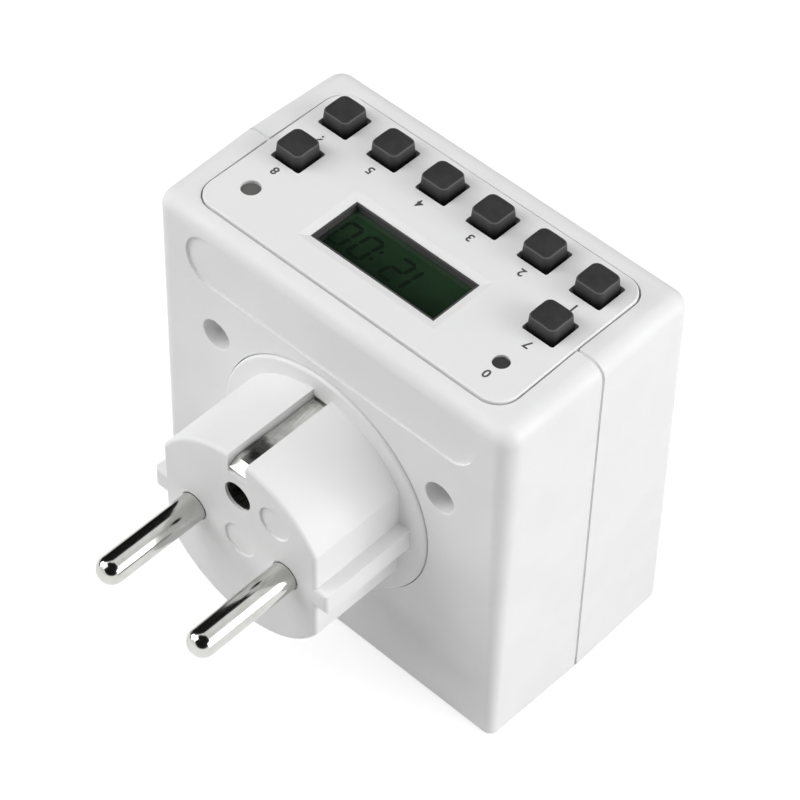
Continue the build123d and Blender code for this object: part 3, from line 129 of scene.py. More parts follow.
class Graph:
    """Adds shader nodes to one node tree and links them."""

    def __init__(self, tree: bpy.types.NodeTree) -> None:
        """Keeps the node tree of a material, a world or a node group."""
        self.tree = tree

    def feed(self, node: bpy.types.Node, inputs: Inputs) -> None:
        """Sets inputs of a node, or links them where the value is a socket.

        Args:
            node: The node.
            inputs: Numbers, vectors, colours or sockets, by the input's name or number.
        """
        for name, value in inputs.items():
            target = node.inputs[name]
            if isinstance(value, Socket):
                self.tree.links.new(value, target)
            elif target.type == "RGBA" and len(value) == 3:
                target.default_value = (*value, 1.0)
            else:
                target.default_value = value

    def add(self, kind: str, inputs: Inputs | None = None, **settings: object) -> bpy.types.Node:
        """Adds one node.

        Args:
            kind: The node's type name.
            inputs: Values or sockets by the name or number of the input.
            settings: Properties of the node, such as its operation.

        Returns:
            The new node.
        """
        node = self.tree.nodes.new(kind)
        for setting, value in settings.items():
            setattr(node, setting, value)
        self.feed(node, inputs or {})
        return node

    def math(self, operation: str, first: object, second: object = 0.0) -> Socket:
        """Returns the result of a Math node."""
        return self.add("ShaderNodeMath", {0: first, 1: second}, operation=operation).outputs[0]

    def times(self, first: object, second: object) -> Socket:
        """Returns the product of two values."""
        return self.math("MULTIPLY", first, second)

    def away(self, value: object, centre: object) -> Socket:
        """Returns how far a value is from a centre, on either side."""
        return self.math("ABSOLUTE", self.math("SUBTRACT", value, centre))

    def reach(self, first: object, second: object) -> Socket:
        """Returns the length of the long side over two short sides at right angles."""
        squares = self.math("POWER", first, 2.0), self.math("POWER", second, 2.0)
        return self.math("SQRT", self.math("ADD", *squares))

    def span(self, value: object, low: float, high: float, first: float = 0.0, last: float = 1.0) -> Socket:
        """Maps the values between low and high smoothly to those between first and last."""
        inputs = {"Value": value, "From Min": low, "From Max": high, "To Min": first, "To Max": last}
        return self.add("ShaderNodeMapRange", inputs, interpolation_type="SMOOTHSTEP").outputs["Result"]

    def grade(self, mask: object, first: float, last: float) -> Socket:
        """Maps a mask smoothly to the values between first and last."""
        return self.span(mask, 0.0, 1.0, first, last)

    def spread(self, mask: object, middle: float, half: float) -> Socket:
        """Maps a mask smoothly to the values around a middle."""
        return self.grade(mask, middle - half, middle + half)

    def blend(self, mask: object, first: object, second: object) -> Socket:
        """Returns the first colour where the mask is 0, and the second where it is 1."""
        return self.add("ShaderNodeMix", {0: mask, 6: first, 7: second}, data_type="RGBA").outputs[2]

    def noise(self, vector: object, scale: object, detail: float = 2.0) -> Socket:
        """Returns a noise pattern with that many finer layers."""
        inputs = {"Vector": vector, "Scale": scale, "Detail": detail}
        return self.add("ShaderNodeTexNoise", inputs).outputs["Fac"]

    def place(self) -> Socket:
        """Returns the object's own coordinates."""
        return self.add("ShaderNodeTexCoord").outputs["Object"]

    def axes(self, vector: object) -> Sockets:
        """Splits a vector into its parts."""
        return self.add("ShaderNodeSeparateXYZ", {"Vector": vector}).outputs

    def lean(self) -> Sockets:
        """Returns the parts of the surface's normal."""
        return self.axes(self.add("ShaderNodeNewGeometry").outputs["Normal"])

    def bump(self, height: object, depth: float) -> Socket:
        """Returns the normal of a relief from a height between 0 and 1, and its real depth."""
        inputs = {"Height": height, "Distance": depth, "Strength": 1.0}
        return self.add("ShaderNodeBump", inputs).outputs["Normal"]


@dataclass(frozen=True)
class Effect:
    """A shader node group that several finishes share."""

    name: str
    inputs: tuple[str, ...]
    outputs: tuple[str, ...]
    draw: Callable[[Graph, Sockets], Inputs]

    def group(self) -> bpy.types.NodeTree:
        """Returns the group, which is built the first time it is asked for."""
        known = bpy.data.node_groups.get(self.name)
        if known:
            return known
        tree = bpy.data.node_groups.new(self.name, "ShaderNodeTree")
        for socket in self.inputs:
            kind = "NodeSocketVector" if socket == "Stretch" else "NodeSocketFloat"
            tree.interface.new_socket(name=socket, in_out="INPUT", socket_type=kind)
        for socket in self.outputs:
            tree.interface.new_socket(name=socket, in_out="OUTPUT", socket_type="NodeSocketFloat")
        graph = Graph(tree)
        given = graph.add("NodeGroupInput").outputs
        graph.add("NodeGroupOutput", self.draw(graph, given))
        return tree

    def use(self, graph: Graph, *values: object) -> Sockets:
        """Places the group in a material, with its own values in the order of the inputs."""
        return graph.add("ShaderNodeGroup", dict(zip(self.inputs, values)), node_tree=self.group()).outputs


def draw_moulded_grain(graph: Graph, given: Sockets) -> Inputs:
    """Draws the fine grain of a mould and the faint clouds in its gloss.

    Args:
        graph: The group's graph.
        given: The group's inputs.

    Returns:
        The outputs by name.
    """
    place = graph.place()
    grain = graph.noise(place, given["Grain Scale"], 3.0)
    cloud = graph.noise(place, given["Cloud Scale"])
    return {"Height": grain, "Cloud": graph.span(cloud, *NOISE_RANGE)}


def draw_drawn_lines(graph: Graph, given: Sockets) -> Inputs:
    """Draws the fine lines that drawing or brushing leaves in metal, and a film of tarnish.

    Args:
        graph: The group's graph.
        given: The group's inputs.

    Returns:
        The outputs by name.
    """
    place = graph.place()
    stretched = graph.add("ShaderNodeVectorMath", {0: place, 1: given["Stretch"]}, operation="MULTIPLY")
    lines = graph.noise(stretched.outputs["Vector"], given["Line Scale"], 4.0)
    film = graph.noise(place, given["Film Scale"], 3.0)
    return {"Height": lines, "Film": graph.span(film, 0.35, 0.75)}


def draw_speckle(graph: Graph, given: Sockets) -> Inputs:
    """Draws small scattered specks, such as dust on rubber.

    Args:
        graph: The group's graph.
        given: The group's inputs.

    Returns:
        The outputs by name.
    """
    cells = graph.add("ShaderNodeTexVoronoi", {"Vector": graph.place(), "Scale": given["Speck Scale"]})
    near = graph.math("SUBTRACT", given["Speck Size"], cells.outputs["Distance"])
    patches = graph.span(graph.noise(graph.place(), given["Patch Scale"]), 0.45, 0.65)
    return {"Specks": graph.times(graph.span(near, 0.0, 0.08), patches)}


def draw_band(graph: Graph, given: Sockets) -> Inputs:
    """Draws one painted band across an axis.

    Args:
        graph: The group's graph.
        given: The group's inputs.

    Returns:
        The outputs by name.
    """
    away = graph.away(given["Position"], given["Centre"])
    inside = graph.math("DIVIDE", graph.math("SUBTRACT", given["Half Width"], away), given["Half Width"])
    return {"Mask": graph.span(inside, -0.1, 0.1)}


GRAIN_INPUTS = ("Grain Scale", "Cloud Scale")
LINE_INPUTS = ("Stretch", "Line Scale", "Film Scale")
SPECK_INPUTS = ("Speck Scale", "Speck Size", "Patch Scale")
BAND_INPUTS = ("Position", "Centre", "Half Width")
MOULDED_GRAIN = Effect("moulded_grain", GRAIN_INPUTS, ("Height", "Cloud"), draw_moulded_grain)
DRAWN_LINES = Effect("drawn_lines", LINE_INPUTS, ("Height", "Film"), draw_drawn_lines)
SPECKLE = Effect("speckle", SPECK_INPUTS, ("Specks",), draw_speckle)
BAND = Effect("painted_band", BAND_INPUTS, ("Mask",), draw_band)


def moulded(graph: Graph, grain: float, cloud: float) -> Sockets:
    """Places the moulded grain, from the size of a grain and of a cloud."""
    return MOULDED_GRAIN.use(graph, 1.0 / grain, 1.0 / cloud)


# ---- finishes


@dataclass(frozen=True)
class Finish:
    """A surface finish that becomes one material."""

    name: str

    def material(self) -> bpy.types.Material:
        """Returns the finish's material, which is built the first time it is asked for."""
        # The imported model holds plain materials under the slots' names, so these end differently.
        title = f"{self.name}_finish"
        known = bpy.data.materials.get(title)
        if known:
            return known
        material = bpy.data.materials.new(title)
        material.use_nodes = True
        graph = Graph(material.node_tree)
        graph.feed(material.node_tree.nodes["Principled BSDF"], self.draw(graph))
        return material

    def draw(self, graph: Graph) -> Inputs:
        """Draws the finish.

        Args:
            graph: The material's graph.

        Returns:
            The shader's inputs.
        """
        raise NotImplementedError


@dataclass(frozen=True)
class MouldedPlastic(Finish):
    """Injection-moulded plastic with a fine spark-eroded grain."""

    colour: Colour
    shade: Colour
    roughness: float = 0.42
    roughness_spread: float = 0.05
    grain: float = 0.16 * MM
    grain_depth: float = 0.0025 * MM
    cloud: float = 9.0 * MM
    coat: float = 0.0

    def draw(self, graph: Graph) -> Inputs:
        """Draws the finish.

        Args:
            graph: The material's graph.

        Returns:
            The shader's inputs.
        """
        grain = moulded(graph, self.grain, self.cloud)
        return {
            "Base Color": graph.blend(grain["Cloud"], self.colour, self.shade),
            "Roughness": graph.spread(grain["Cloud"], self.roughness, self.roughness_spread),
            "Normal": graph.bump(grain["Height"], self.grain_depth),
            "Coat Weight": self.coat,
        }


@dataclass(frozen=True)
class MatteRubber(Finish):
    """Silicone rubber with a fine matte grain and a trace of pale dust."""

    colour: Colour
    dust: Colour
    roughness: float = 0.55
    roughness_spread: float = 0.06
    specular: float = 0.3
    grain: float = 0.11 * MM
    grain_depth: float = 0.004 * MM
    cloud: float = 3.0 * MM
    speck: float = 0.35 * MM
    speck_size: float = 0.16
    dust_patch: float = 2.0 * MM
    dust_share: float = 0.35

    def draw(self, graph: Graph) -> Inputs:
        """Draws the finish.

        Args:
            graph: The material's graph.

        Returns:
            The shader's inputs.
        """
        grain = moulded(graph, self.grain, self.cloud)
        specks = SPECKLE.use(graph, 1.0 / self.speck, self.speck_size, 1.0 / self.dust_patch)["Specks"]
        shaded = graph.blend(grain["Cloud"], self.colour, darker(self.colour, 0.8))
        return {
            "Base Color": graph.blend(graph.times(specks, self.dust_share), shaded, self.dust),
            "Roughness": graph.spread(grain["Cloud"], self.roughness, self.roughness_spread),
            "Specular IOR Level": self.specular,
            "Normal": graph.bump(grain["Height"], self.grain_depth),
        }


@dataclass(frozen=True)
class KeyRubber(MatteRubber):
    """Rubber of a key, with painted light: painted shade around its foot, a painted sheen on its sides near
    the top, and a paler painted highlight along its rounded rim.

    Where the side ends and where the rim begins and ends is told by how far the surface faces up.
    """

    # Painted light: a pale painted highlight for the rim, a lighter painted sheen for the sides near the top,
    # and painted shade for the foot.
    painted_rim_highlight: Colour = grey(100)
    side: Colour = grey(74)
    painted_foot_shade: Colour = grey(16)
    foot_z: float = 35.6 * MM
    head_z: float = 37.9 * MM
    side_ends: Pair = (0.1, 0.3)
    rim_begins: Pair = (0.2, 0.45)
    rim_ends: Pair = (0.9, 0.985)
    painted_light_share: float = 0.8

    def draw(self, graph: Graph) -> Inputs:
        """Draws the finish.

        Args:
            graph: The material's graph.

        Returns:
            The shader's inputs.
        """
        looks = super().draw(graph)
        raised = graph.span(graph.axes(graph.place())["Z"], self.foot_z, self.head_z)
        upward = graph.lean()["Z"]
        rim = graph.times(graph.span(upward, *self.rim_begins), graph.span(upward, *self.rim_ends, 1.0, 0.0))
        # Painted shade darkens the sides towards the foot; a painted sheen makes them lighter than the top
        # near the head.
        sides = graph.blend(raised, self.painted_foot_shade, self.side)
        body = graph.blend(graph.span(upward, *self.side_ends), sides, looks["Base Color"])
        # Painted highlight along the rounded rim.
        looks["Base Color"] = graph.blend(graph.times(rim, self.painted_light_share), body, self.painted_rim_highlight)
        return looks


@dataclass(frozen=True)
class DrawnMetal(Finish):
    """Bare or plated metal with fine drawn lines and a thin film of tarnish."""

    colour: Colour
    film: Colour
    roughness: float = 0.1
    roughness_spread: float = 0.04
    along: Along = Along.Y
    line: float = 0.09 * MM
    line_length: float = 40.0
    line_depth: float = 0.0006 * MM
    film_patch: float = 2.6 * MM

    def draw(self, graph: Graph) -> Inputs:
        """Draws the finish.

        Args:
            graph: The material's graph.

        Returns:
            The shader's inputs.
        """
        stretch = self.along.stretch(self.line_length)
        lines = DRAWN_LINES.use(graph, stretch, 1.0 / self.line, 1.0 / self.film_patch)
        low, high = self.roughness - self.roughness_spread, self.roughness + self.roughness_spread
        return {
            "Base Color": graph.blend(lines["Film"], self.colour, self.film),
            "Roughness": graph.span(lines["Height"], 0.35, 0.65, low, high),
            "Normal": graph.bump(lines["Height"], self.line_depth),
            "Metallic": 1.0,
        }


@dataclass(frozen=True)
class DarkReflectionStrip(DrawnMetal):
    """A plated spring strip with a painted dark reflection: a dark, ragged band across the strip."""

    # Painted reflection: a dark band that stands in for dark surroundings mirrored in the strip.
    painted_dark_reflection: Colour = tone(50, 52, 50)
    dark_reflection_y: float = -5.0 * MM
    dark_reflection_half: float = 3.2 * MM
    core_share: float = 0.3
    ragged: float = 0.5 * MM
    ragged_patch: float = 1.6 * MM
    painted_light_share: float = 0.85

    def draw(self, graph: Graph) -> Inputs:
        """Draws the finish.

        Args:
            graph: The material's graph.

        Returns:
            The shader's inputs.
        """
        looks = super().draw(graph)
        place = graph.place()
        patches = graph.noise(place, 1.0 / self.ragged_patch, 4.0)
        shift = graph.span(patches, *NOISE_RANGE, -self.ragged, self.ragged)
        away = graph.away(graph.math("ADD", graph.axes(place)["Y"], shift), self.dark_reflection_y)
        dark_reflection_zone = graph.span(away, self.core_share * self.dark_reflection_half, self.dark_reflection_half, 1.0, 0.0)
        # Paints the dark reflection band over the metal.
        looks["Base Color"] = graph.blend(graph.times(dark_reflection_zone, self.painted_light_share), looks["Base Color"], self.painted_dark_reflection)
        return looks


@dataclass(frozen=True)
class PadPrint(Finish):
    """Dark ink printed on plastic, a little thin where the pad lifted off."""

    ink: Colour
    thin: Colour
    grain: float = 0.12 * MM
    grain_depth: float = 0.002 * MM
    cloud: float = 0.9 * MM
    roughness: Pair = (0.38, 0.55)

    def draw(self, graph: Graph) -> Inputs:
        """Draws the finish.

        Args:
            graph: The material's graph.

        Returns:
            The shader's inputs.
        """
        grain = moulded(graph, self.grain, self.cloud)
        return {
            "Base Color": graph.blend(grain["Cloud"], self.ink, self.thin),
            "Roughness": graph.span(grain["Height"], *NOISE_RANGE, *self.roughness),
            "Normal": graph.bump(grain["Height"], self.grain_depth),
        }


@dataclass(frozen=True)
class WindowFrame(MouldedPlastic):
    """Dark moulded plastic with a thin paler line around the display."""

    line: Colour = grey(74)
    centre: Pair = (0.0, 0.0)
    half_size: Pair = (1.0, 1.0)
    line_width: float = 0.3 * MM

    def draw(self, graph: Graph) -> Inputs:
        """Draws the finish.

        Args:
            graph: The material's graph.

        Returns:
            The shader's inputs.
        """
        looks = super().draw(graph)
        axes = graph.axes(graph.place())
        beyond = [
            graph.math("SUBTRACT", graph.away(axes[number], self.centre[number]), self.half_size[number])
            for number in (0, 1)
        ]
        outside = graph.math("MAXIMUM", *beyond)
        mask = graph.span(outside, 0.5 * self.line_width, 1.5 * self.line_width, 1.0, 0.0)
        looks["Base Color"] = graph.blend(mask, looks["Base Color"], self.line)
        return looks


@dataclass(frozen=True)
class DisplayCell(Finish):
    """A reflective display behind a satin polariser, with painted light: its colour shades from one edge to
    the other, lighter and greener towards the user's side.
    """

    near: Colour
    far: Colour
    near_y: float
    far_y: float
    mottle: float = 0.25
    grain: float = 0.2 * MM
    grain_depth: float = 0.0008 * MM
    cloud: float = 4.0 * MM
    roughness: Pair = (0.1, 0.2)

    def draw(self, graph: Graph) -> Inputs:
        """Draws the finish.

        Args:
            graph: The material's graph.

        Returns:
            The shader's inputs.
        """
        grain = moulded(graph, self.grain, self.cloud)
        # Painted light: the colour shades across the display from far_y to near_y.
        depth = graph.span(graph.axes(graph.place())["Y"], self.far_y, self.near_y)
        clouded = graph.math("ADD", depth, graph.times(grain["Cloud"], self.mottle))
        return {
            "Base Color": graph.blend(graph.span(clouded, 0.0, 1.0 + self.mottle), self.far, self.near),
            "Roughness": graph.span(grain["Height"], *NOISE_RANGE, *self.roughness),
            "Normal": graph.bump(grain["Height"], self.grain_depth),
            "Coat Weight": 0.5,
            "Coat Roughness": 0.08,
        }


@dataclass(frozen=True)
class BoardLaminate(Finish):
    """A circuit board: solder resist over copper tracks, and bare laminate at its edges."""

    resist: Colour
    track: Colour
    laminate: Colour
    track_pitch: float = 2.2 * MM
    track_length: float = 6.82 * MM
    track_gap: float = 0.32 * MM
    track_height: float = 0.02 * MM
    weave: float = 0.35 * MM
    roughness: Pair = (0.7, 0.32)

    def draw(self, graph: Graph) -> Inputs:
        """Draws the finish.

        Args:
            graph: The material's graph.

        Returns:
            The shader's inputs.
        """
        place = graph.place()
        tracks = {
            "Vector": place,
            "Scale": 1.0,
            "Brick Width": self.track_length,
            "Row Height": self.track_pitch,
            "Mortar Size": self.track_gap,
        }
        gaps = graph.add("ShaderNodeTexBrick", tracks, offset=0.5, squash=1.4).outputs["Fac"]
        cloud = moulded(graph, 0.1 * MM, 6.0 * MM)["Cloud"]
        flat = graph.span(graph.math("ABSOLUTE", graph.lean()["Z"]), 0.6, 0.8)
        covered = graph.blend(gaps, self.resist, self.track)
        clouded = graph.blend(graph.times(cloud, 0.3), covered, self.track)
        bare = graph.blend(graph.noise(place, 1.0 / self.weave), self.laminate, darker(self.laminate, 0.7))
        return {
            "Base Color": graph.blend(flat, bare, clouded),
            "Roughness": graph.grade(flat, *self.roughness),
            "Normal": graph.bump(graph.times(gaps, flat), self.track_height),
        }


@dataclass(frozen=True)
class BandedBody(Finish):
    """A lacquered component body with painted bands, and tinned leads beyond its ends."""

    body: Colour
    axis_x: float
    axis_z: float
    radius: float
    bands: Bands
    roughness: float
    lead: Colour = tone(200, 202, 204)
    lead_roughness: float = 0.3
    band_half_width: float = 0.35 * MM
    grain: float = 0.2 * MM
    grain_depth: float = 0.003 * MM
    cloud: float = 1.5 * MM

    def draw(self, graph: Graph) -> Inputs:
        """Draws the finish.

        Args:
            graph: The material's graph.

        Returns:
            The shader's inputs.
        """
        axes = graph.axes(graph.place())
        grain = moulded(graph, self.grain, self.cloud)
        colour = graph.blend(graph.times(grain["Cloud"], 0.3), self.body, darker(self.body, 0.7))
        for centre, paint in self.bands:
            mask = BAND.use(graph, axes["Y"], centre, self.band_half_width)["Mask"]
            colour = graph.blend(mask, colour, paint)
        across = graph.math("SUBTRACT", axes["X"], self.axis_x)
        upward = graph.math("SUBTRACT", axes["Z"], self.axis_z)
        skin = graph.span(graph.reach(across, upward), 0.45 * self.radius, 0.6 * self.radius)
        above = graph.span(axes["Z"], self.axis_z - 1.3 * self.radius, self.axis_z - 1.05 * self.radius)
        covered = graph.times(skin, above)
        return {
            "Base Color": graph.blend(covered, self.lead, colour),
            "Metallic": graph.grade(covered, 1.0, 0.0),
            "Roughness": graph.grade(covered, self.lead_roughness, self.roughness),
            "Normal": graph.bump(grain["Height"], self.grain_depth),
        }


@dataclass(frozen=True)
class SleevedCan(Finish):
    """A capacitor's can: a shrunk sleeve with a pale stripe, and bare aluminium on top."""

    sleeve: Colour
    stripe: Colour
    top: Colour
    centre: Pair
    top_z: float
    radius: float
    vent_half_width: float = 0.15 * MM
    vent_depth: float = 0.05 * MM
    grain: float = 0.3 * MM
    cloud: float = 3.0 * MM
    roughness: Pair = (0.3, 0.25)

    def draw(self, graph: Graph) -> Inputs:
        """Draws the finish.

        Args:
            graph: The material's graph.

        Returns:
            The shader's inputs.
        """
        axes = graph.axes(graph.place())
        grain = moulded(graph, self.grain, self.cloud)
        right = graph.math("SUBTRACT", axes["X"], self.centre[0])
        back = graph.math("SUBTRACT", axes["Y"], self.centre[1])
        striped = graph.span(right, 0.62 * self.radius, 0.72 * self.radius)
        inward = graph.span(graph.reach(right, back), 0.78 * self.radius, 0.84 * self.radius, 1.0, 0.0)
        bare = graph.times(inward, graph.span(axes["Z"], self.top_z - 0.4 * MM, self.top_z - 0.2 * MM))
        shaded = graph.blend(grain["Cloud"], self.sleeve, darker(self.sleeve, 0.8))
        sides = [graph.math("ABSOLUTE", value) for value in (right, back)]
        cuts = [graph.math("LESS_THAN", side, self.vent_half_width) for side in sides]
        vent = graph.times(graph.math("MAXIMUM", *cuts), bare)
        height = graph.math("SUBTRACT", graph.times(grain["Height"], 0.1), vent)
        return {
            "Base Color": graph.blend(bare, graph.blend(striped, shaded, self.stripe), self.top),
            "Metallic": bare,
            "Roughness": graph.grade(bare, *self.roughness),
            "Normal": graph.bump(height, self.vent_depth),
        }


@dataclass(frozen=True)
class RibbonJacket(Finish):
    """A flat cable: ribbed grey insulation with one marked edge, and painted shade in the grooves between its
    ribs.
    """

    jacket: Colour
    marked: Colour
    start_y: float
    pitch: float
    edge_y: float
    edge_blur: float = 0.05 * MM
    rib_height: float = 0.3 * MM
    roughness: Pair = (0.4, 0.5)

    def draw(self, graph: Graph) -> Inputs:
        """Draws the finish.

        Args:
            graph: The material's graph.

        Returns:
            The shader's inputs.
        """
        axes = graph.axes(graph.place())
        along = graph.math("DIVIDE", graph.math("SUBTRACT", axes["Y"], self.start_y), self.pitch)
        wave = graph.math("ABSOLUTE", graph.math("SINE", graph.times(along, math.pi)))
        edge = graph.span(axes["Y"], self.edge_y - self.edge_blur, self.edge_y + self.edge_blur)
        cloud = moulded(graph, 0.3 * MM, 5.0 * MM)["Cloud"]
        shaded = graph.blend(cloud, self.jacket, darker(self.jacket, 0.85))
        # Painted shade: the grooves between the ribs are darkened.
        groove_shaded = graph.blend(graph.span(wave, 0.0, 0.35, 1.0, 0.0), shaded, darker(self.jacket, 0.4))
        return {
            "Base Color": graph.blend(edge, groove_shaded, self.marked),
            "Roughness": graph.grade(cloud, *self.roughness),
            "Normal": graph.bump(wave, self.rib_height),
        }


@dataclass(frozen=True)
class StripedRubber(Finish):
    """A connector strip of thin conducting and insulating layers of rubber."""

    conducting: Colour
    insulating: Colour
    pitch: float = 0.5 * MM
    grain: float = 0.1 * MM
    grain_depth: float = 0.004 * MM
    cloud: float = 2.0 * MM
    roughness: Pair = (0.55, 0.7)

    def draw(self, graph: Graph) -> Inputs:
        """Draws the finish.

        Args:
            graph: The material's graph.

        Returns:
            The shader's inputs.
        """
        wave = graph.math("SINE", graph.times(graph.axes(graph.place())["X"], 2.0 * math.pi / self.pitch))
        grain = moulded(graph, self.grain, self.cloud)
        return {
            "Base Color": graph.blend(graph.span(wave, -0.2, 0.2), self.insulating, self.conducting),
            "Roughness": graph.grade(grain["Cloud"], *self.roughness),
            "Normal": graph.bump(grain["Height"], self.grain_depth),
        }


WHITE = MouldedPlastic("white_plastic", grey(243), grey(241), roughness=0.5)
INNER_WHITE = MouldedPlastic("inner_white_plastic", tone(228, 228, 224), tone(220, 220, 214), roughness=0.5)
KEY_RUBBER = KeyRubber("key_rubber", grey(62), tone(104, 104, 103), specular=0.12)
BUTTON_RUBBER = MatteRubber("button_rubber", grey(62), tone(104, 104, 103))
MAT_RUBBER = MatteRubber("mat_rubber", tone(132, 132, 134), tone(190, 190, 188), roughness=0.62)
NICKEL = DrawnMetal("nickel", tone(206, 206, 203), tone(194, 194, 189), roughness=0.13, roughness_spread=0.03)
STRIP_NICKEL = DarkReflectionStrip("strip_nickel", tone(226, 226, 223), tone(208, 208, 203), roughness=0.3)
OLD_BRASS = DrawnMetal("tarnished_brass", tone(176, 176, 170), tone(70, 70, 66), roughness=0.3)
BRASS = DrawnMetal("brass", tone(212, 178, 96), tone(170, 130, 66), roughness=0.28)
ZINC = DrawnMetal("zinc", tone(196, 198, 202), tone(166, 168, 170), roughness=0.3, along=Along.X)
SPRING_WIRE = DrawnMetal("spring_wire", tone(188, 190, 194), tone(150, 152, 154), 0.25, along=Along.Z)
INK = PadPrint("printed_ink", tone(78, 78, 80), tone(92, 92, 94))
LAMP_LENS = MouldedPlastic("lamp_lens", tone(106, 106, 105), tone(90, 90, 89), roughness=0.5)
EPOXY = MouldedPlastic("black_epoxy", tone(34, 34, 36), tone(26, 26, 28), 0.5, grain_depth=0.006 * MM)
RELAY_CASE = MouldedPlastic("relay_case", tone(28, 44, 84), tone(24, 36, 70), roughness=0.3, coat=0.2)
CAPACITOR_CASE = MouldedPlastic("capacitor_case", tone(226, 178, 40), tone(212, 162, 34), roughness=0.34)
BROWN_JACKET = MouldedPlastic("brown_jacket", tone(96, 58, 34), tone(84, 50, 30), roughness=0.4)
BLUE_JACKET = MouldedPlastic("blue_jacket", tone(38, 84, 168), tone(32, 72, 148), roughness=0.4)
CELL_SLEEVE = MouldedPlastic("cell_sleeve", tone(40, 120, 70), tone(34, 104, 60), roughness=0.28, coat=0.5)
BOARD = BoardLaminate("board", tone(22, 92, 52), tone(52, 132, 74), tone(196, 184, 130))
ZEBRA = StripedRubber("zebra_rubber", tone(30, 30, 32), tone(206, 120, 134))


# ---- workshop


@dataclass
class Workshop:
    """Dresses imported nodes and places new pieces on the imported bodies."""

    nodes: dict[str, bpy.types.Object]

    def dress(self, finish: Finish, *names: str) -> None:
        """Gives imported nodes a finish.

        Args:
            finish: The finish.
            names: The nodes.
        """
        for name in names:
            for slot in self.nodes[name].material_slots:
                slot.material = finish.material()
            log.info("dressed %s in %s", name, finish.name)

    def place(self, name: str, shape: Shape, finish: Finish, slot: str) -> bpy.types.Object:
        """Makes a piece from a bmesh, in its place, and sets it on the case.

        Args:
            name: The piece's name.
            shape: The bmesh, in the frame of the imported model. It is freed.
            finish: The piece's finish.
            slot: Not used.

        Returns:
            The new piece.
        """
        bmesh.ops.remove_doubles(shape, verts=shape.verts, dist=WELD)
        bmesh.ops.recalc_face_normals(shape, faces=shape.faces)
        mesh = bpy.data.meshes.new(name)
        shape.to_mesh(mesh)
        shape.free()
        piece = bpy.data.objects.new(name, mesh)
        bpy.context.scene.collection.objects.link(piece)
        mesh.materials.append(finish.material())
        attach(piece, CASE_BODY)
        log.info("placed %s on %s", name, CASE_BODY)
        return piece


def lettering(text: str, height: float, thickness: float, centre: Point, bolder: float) -> Shape:
    """Makes raised characters that read from the user's side, lying in a level plane.

    Args:
        text: The characters.
        height: The height of a capital or a numeral.
        thickness: How thick the characters are.
        centre: The middle of the characters' underside.
        bolder: How far the outlines grow outwards.

    Returns:
        The characters as a closed mesh.
    """
    capital_share = 0.73
    curve = bpy.data.curves.new("lettering", "FONT")
    curve.body = text
    curve.align_x = "CENTER"
    curve.align_y = "CENTER"
    curve.size = height / capital_share
    curve.extrude = thickness / 2
    curve.offset = bolder
    holder = bpy.data.objects.new("lettering", curve)
    bpy.context.scene.collection.objects.link(holder)
    mesh = bpy.data.meshes.new_from_object(holder)
    shape = bmesh.new()
    shape.from_mesh(mesh)
    bmesh.ops.remove_doubles(shape, verts=shape.verts, dist=WELD)
    bmesh.ops.translate(shape, vec=(centre[0], centre[1], centre[2] + thickness / 2), verts=shape.verts)
    bpy.data.objects.remove(holder)
    bpy.data.meshes.remove(mesh)
    bpy.data.curves.remove(curve)
    return shape


def join(into: Shape, part: Shape) -> None:
    """Adds one bmesh to another.

    Args:
        into: The bmesh that grows.
        part: The bmesh that is added. It is freed.
    """
    carrier = bpy.data.meshes.new("carrier")
    part.to_mesh(carrier)
    part.free()
    into.from_mesh(carrier)
    bpy.data.meshes.remove(carrier)


# ---- sub-assemblies


@dataclass
class Case:
    """The two shells of the case and the screws that hold them together."""

    shop: Workshop

    def build(self) -> None:
        """Dresses the shells and the screws."""
        self.shop.dress(WHITE, "rear_housing", "front_housing")
        self.shop.dress(ZINC, "housing_screws")


@dataclass
class Plug:
    """The mains plug: its body, its two pins and its earth parts."""

    shop: Workshop

    def build(self) -> None:
        """Dresses the plug's parts."""
        self.shop.dress(WHITE, "plug_insert")
        self.shop.dress(NICKEL, "plug_pin_left", "plug_pin_right")
        self.shop.dress(STRIP_NICKEL, "earth_bracket")
        self.shop.dress(OLD_BRASS, "earth_socket")


@dataclass
class ControlPanel:
    """The panel in the top of the case, with plain numerals printed beside its keys."""

    shop: Workshop
    numeral_height: float = 1.55 * MM
    ink_thickness: float = 0.02 * MM
    bolder: float = 0.05 * MM
    columns: int = 6
    key_pitch: float = 10.0 * MM
    first_row_y: float = -43.2 * MM
    second_row_y: float = -33.35 * MM
    reset_numeral: Pair = (-24.5 * MM, -25.3 * MM)

    def marks(self) -> dict[str, Pair]:
        """Returns the places of the numerals, which count up from the user's left."""
        middle = (self.columns - 1) / 2
        places = {}
        for number in range(self.columns):
            places[str(number + 1)] = ((number - middle) * self.key_pitch, self.first_row_y)
        places["7"] = (-middle * self.key_pitch, self.second_row_y)
        places["8"] = (middle * self.key_pitch, self.second_row_y)
        places["0"] = self.reset_numeral
        return places

    def build(self) -> None:
        """Dresses the panel and prints its numerals."""
        self.shop.dress(WHITE, "control_panel")
        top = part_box("control_panel")[1].z
        print_work = bmesh.new()
        for text, (x, y) in self.marks().items():
            place = (x, y, top)
            join(print_work, lettering(text, self.numeral_height, self.ink_thickness, place, self.bolder))
        self.shop.place("panel_numerals", print_work, INK, "dark_frame")


@dataclass
class Keypad:
    """The rubber keys, the reset button and the mat under them."""

    shop: Workshop
    keys: tuple[str, ...] = ("minute", "hour", "week", "mode", "timer", "clock", "recall", "random")

    def build(self) -> None:
        """Dresses the keys, the button and the mat."""
        self.shop.dress(KEY_RUBBER, *(f"key_{key}" for key in self.keys))
        self.shop.dress(BUTTON_RUBBER, "reset_button")
        self.shop.dress(MAT_RUBBER, "keypad_mat")


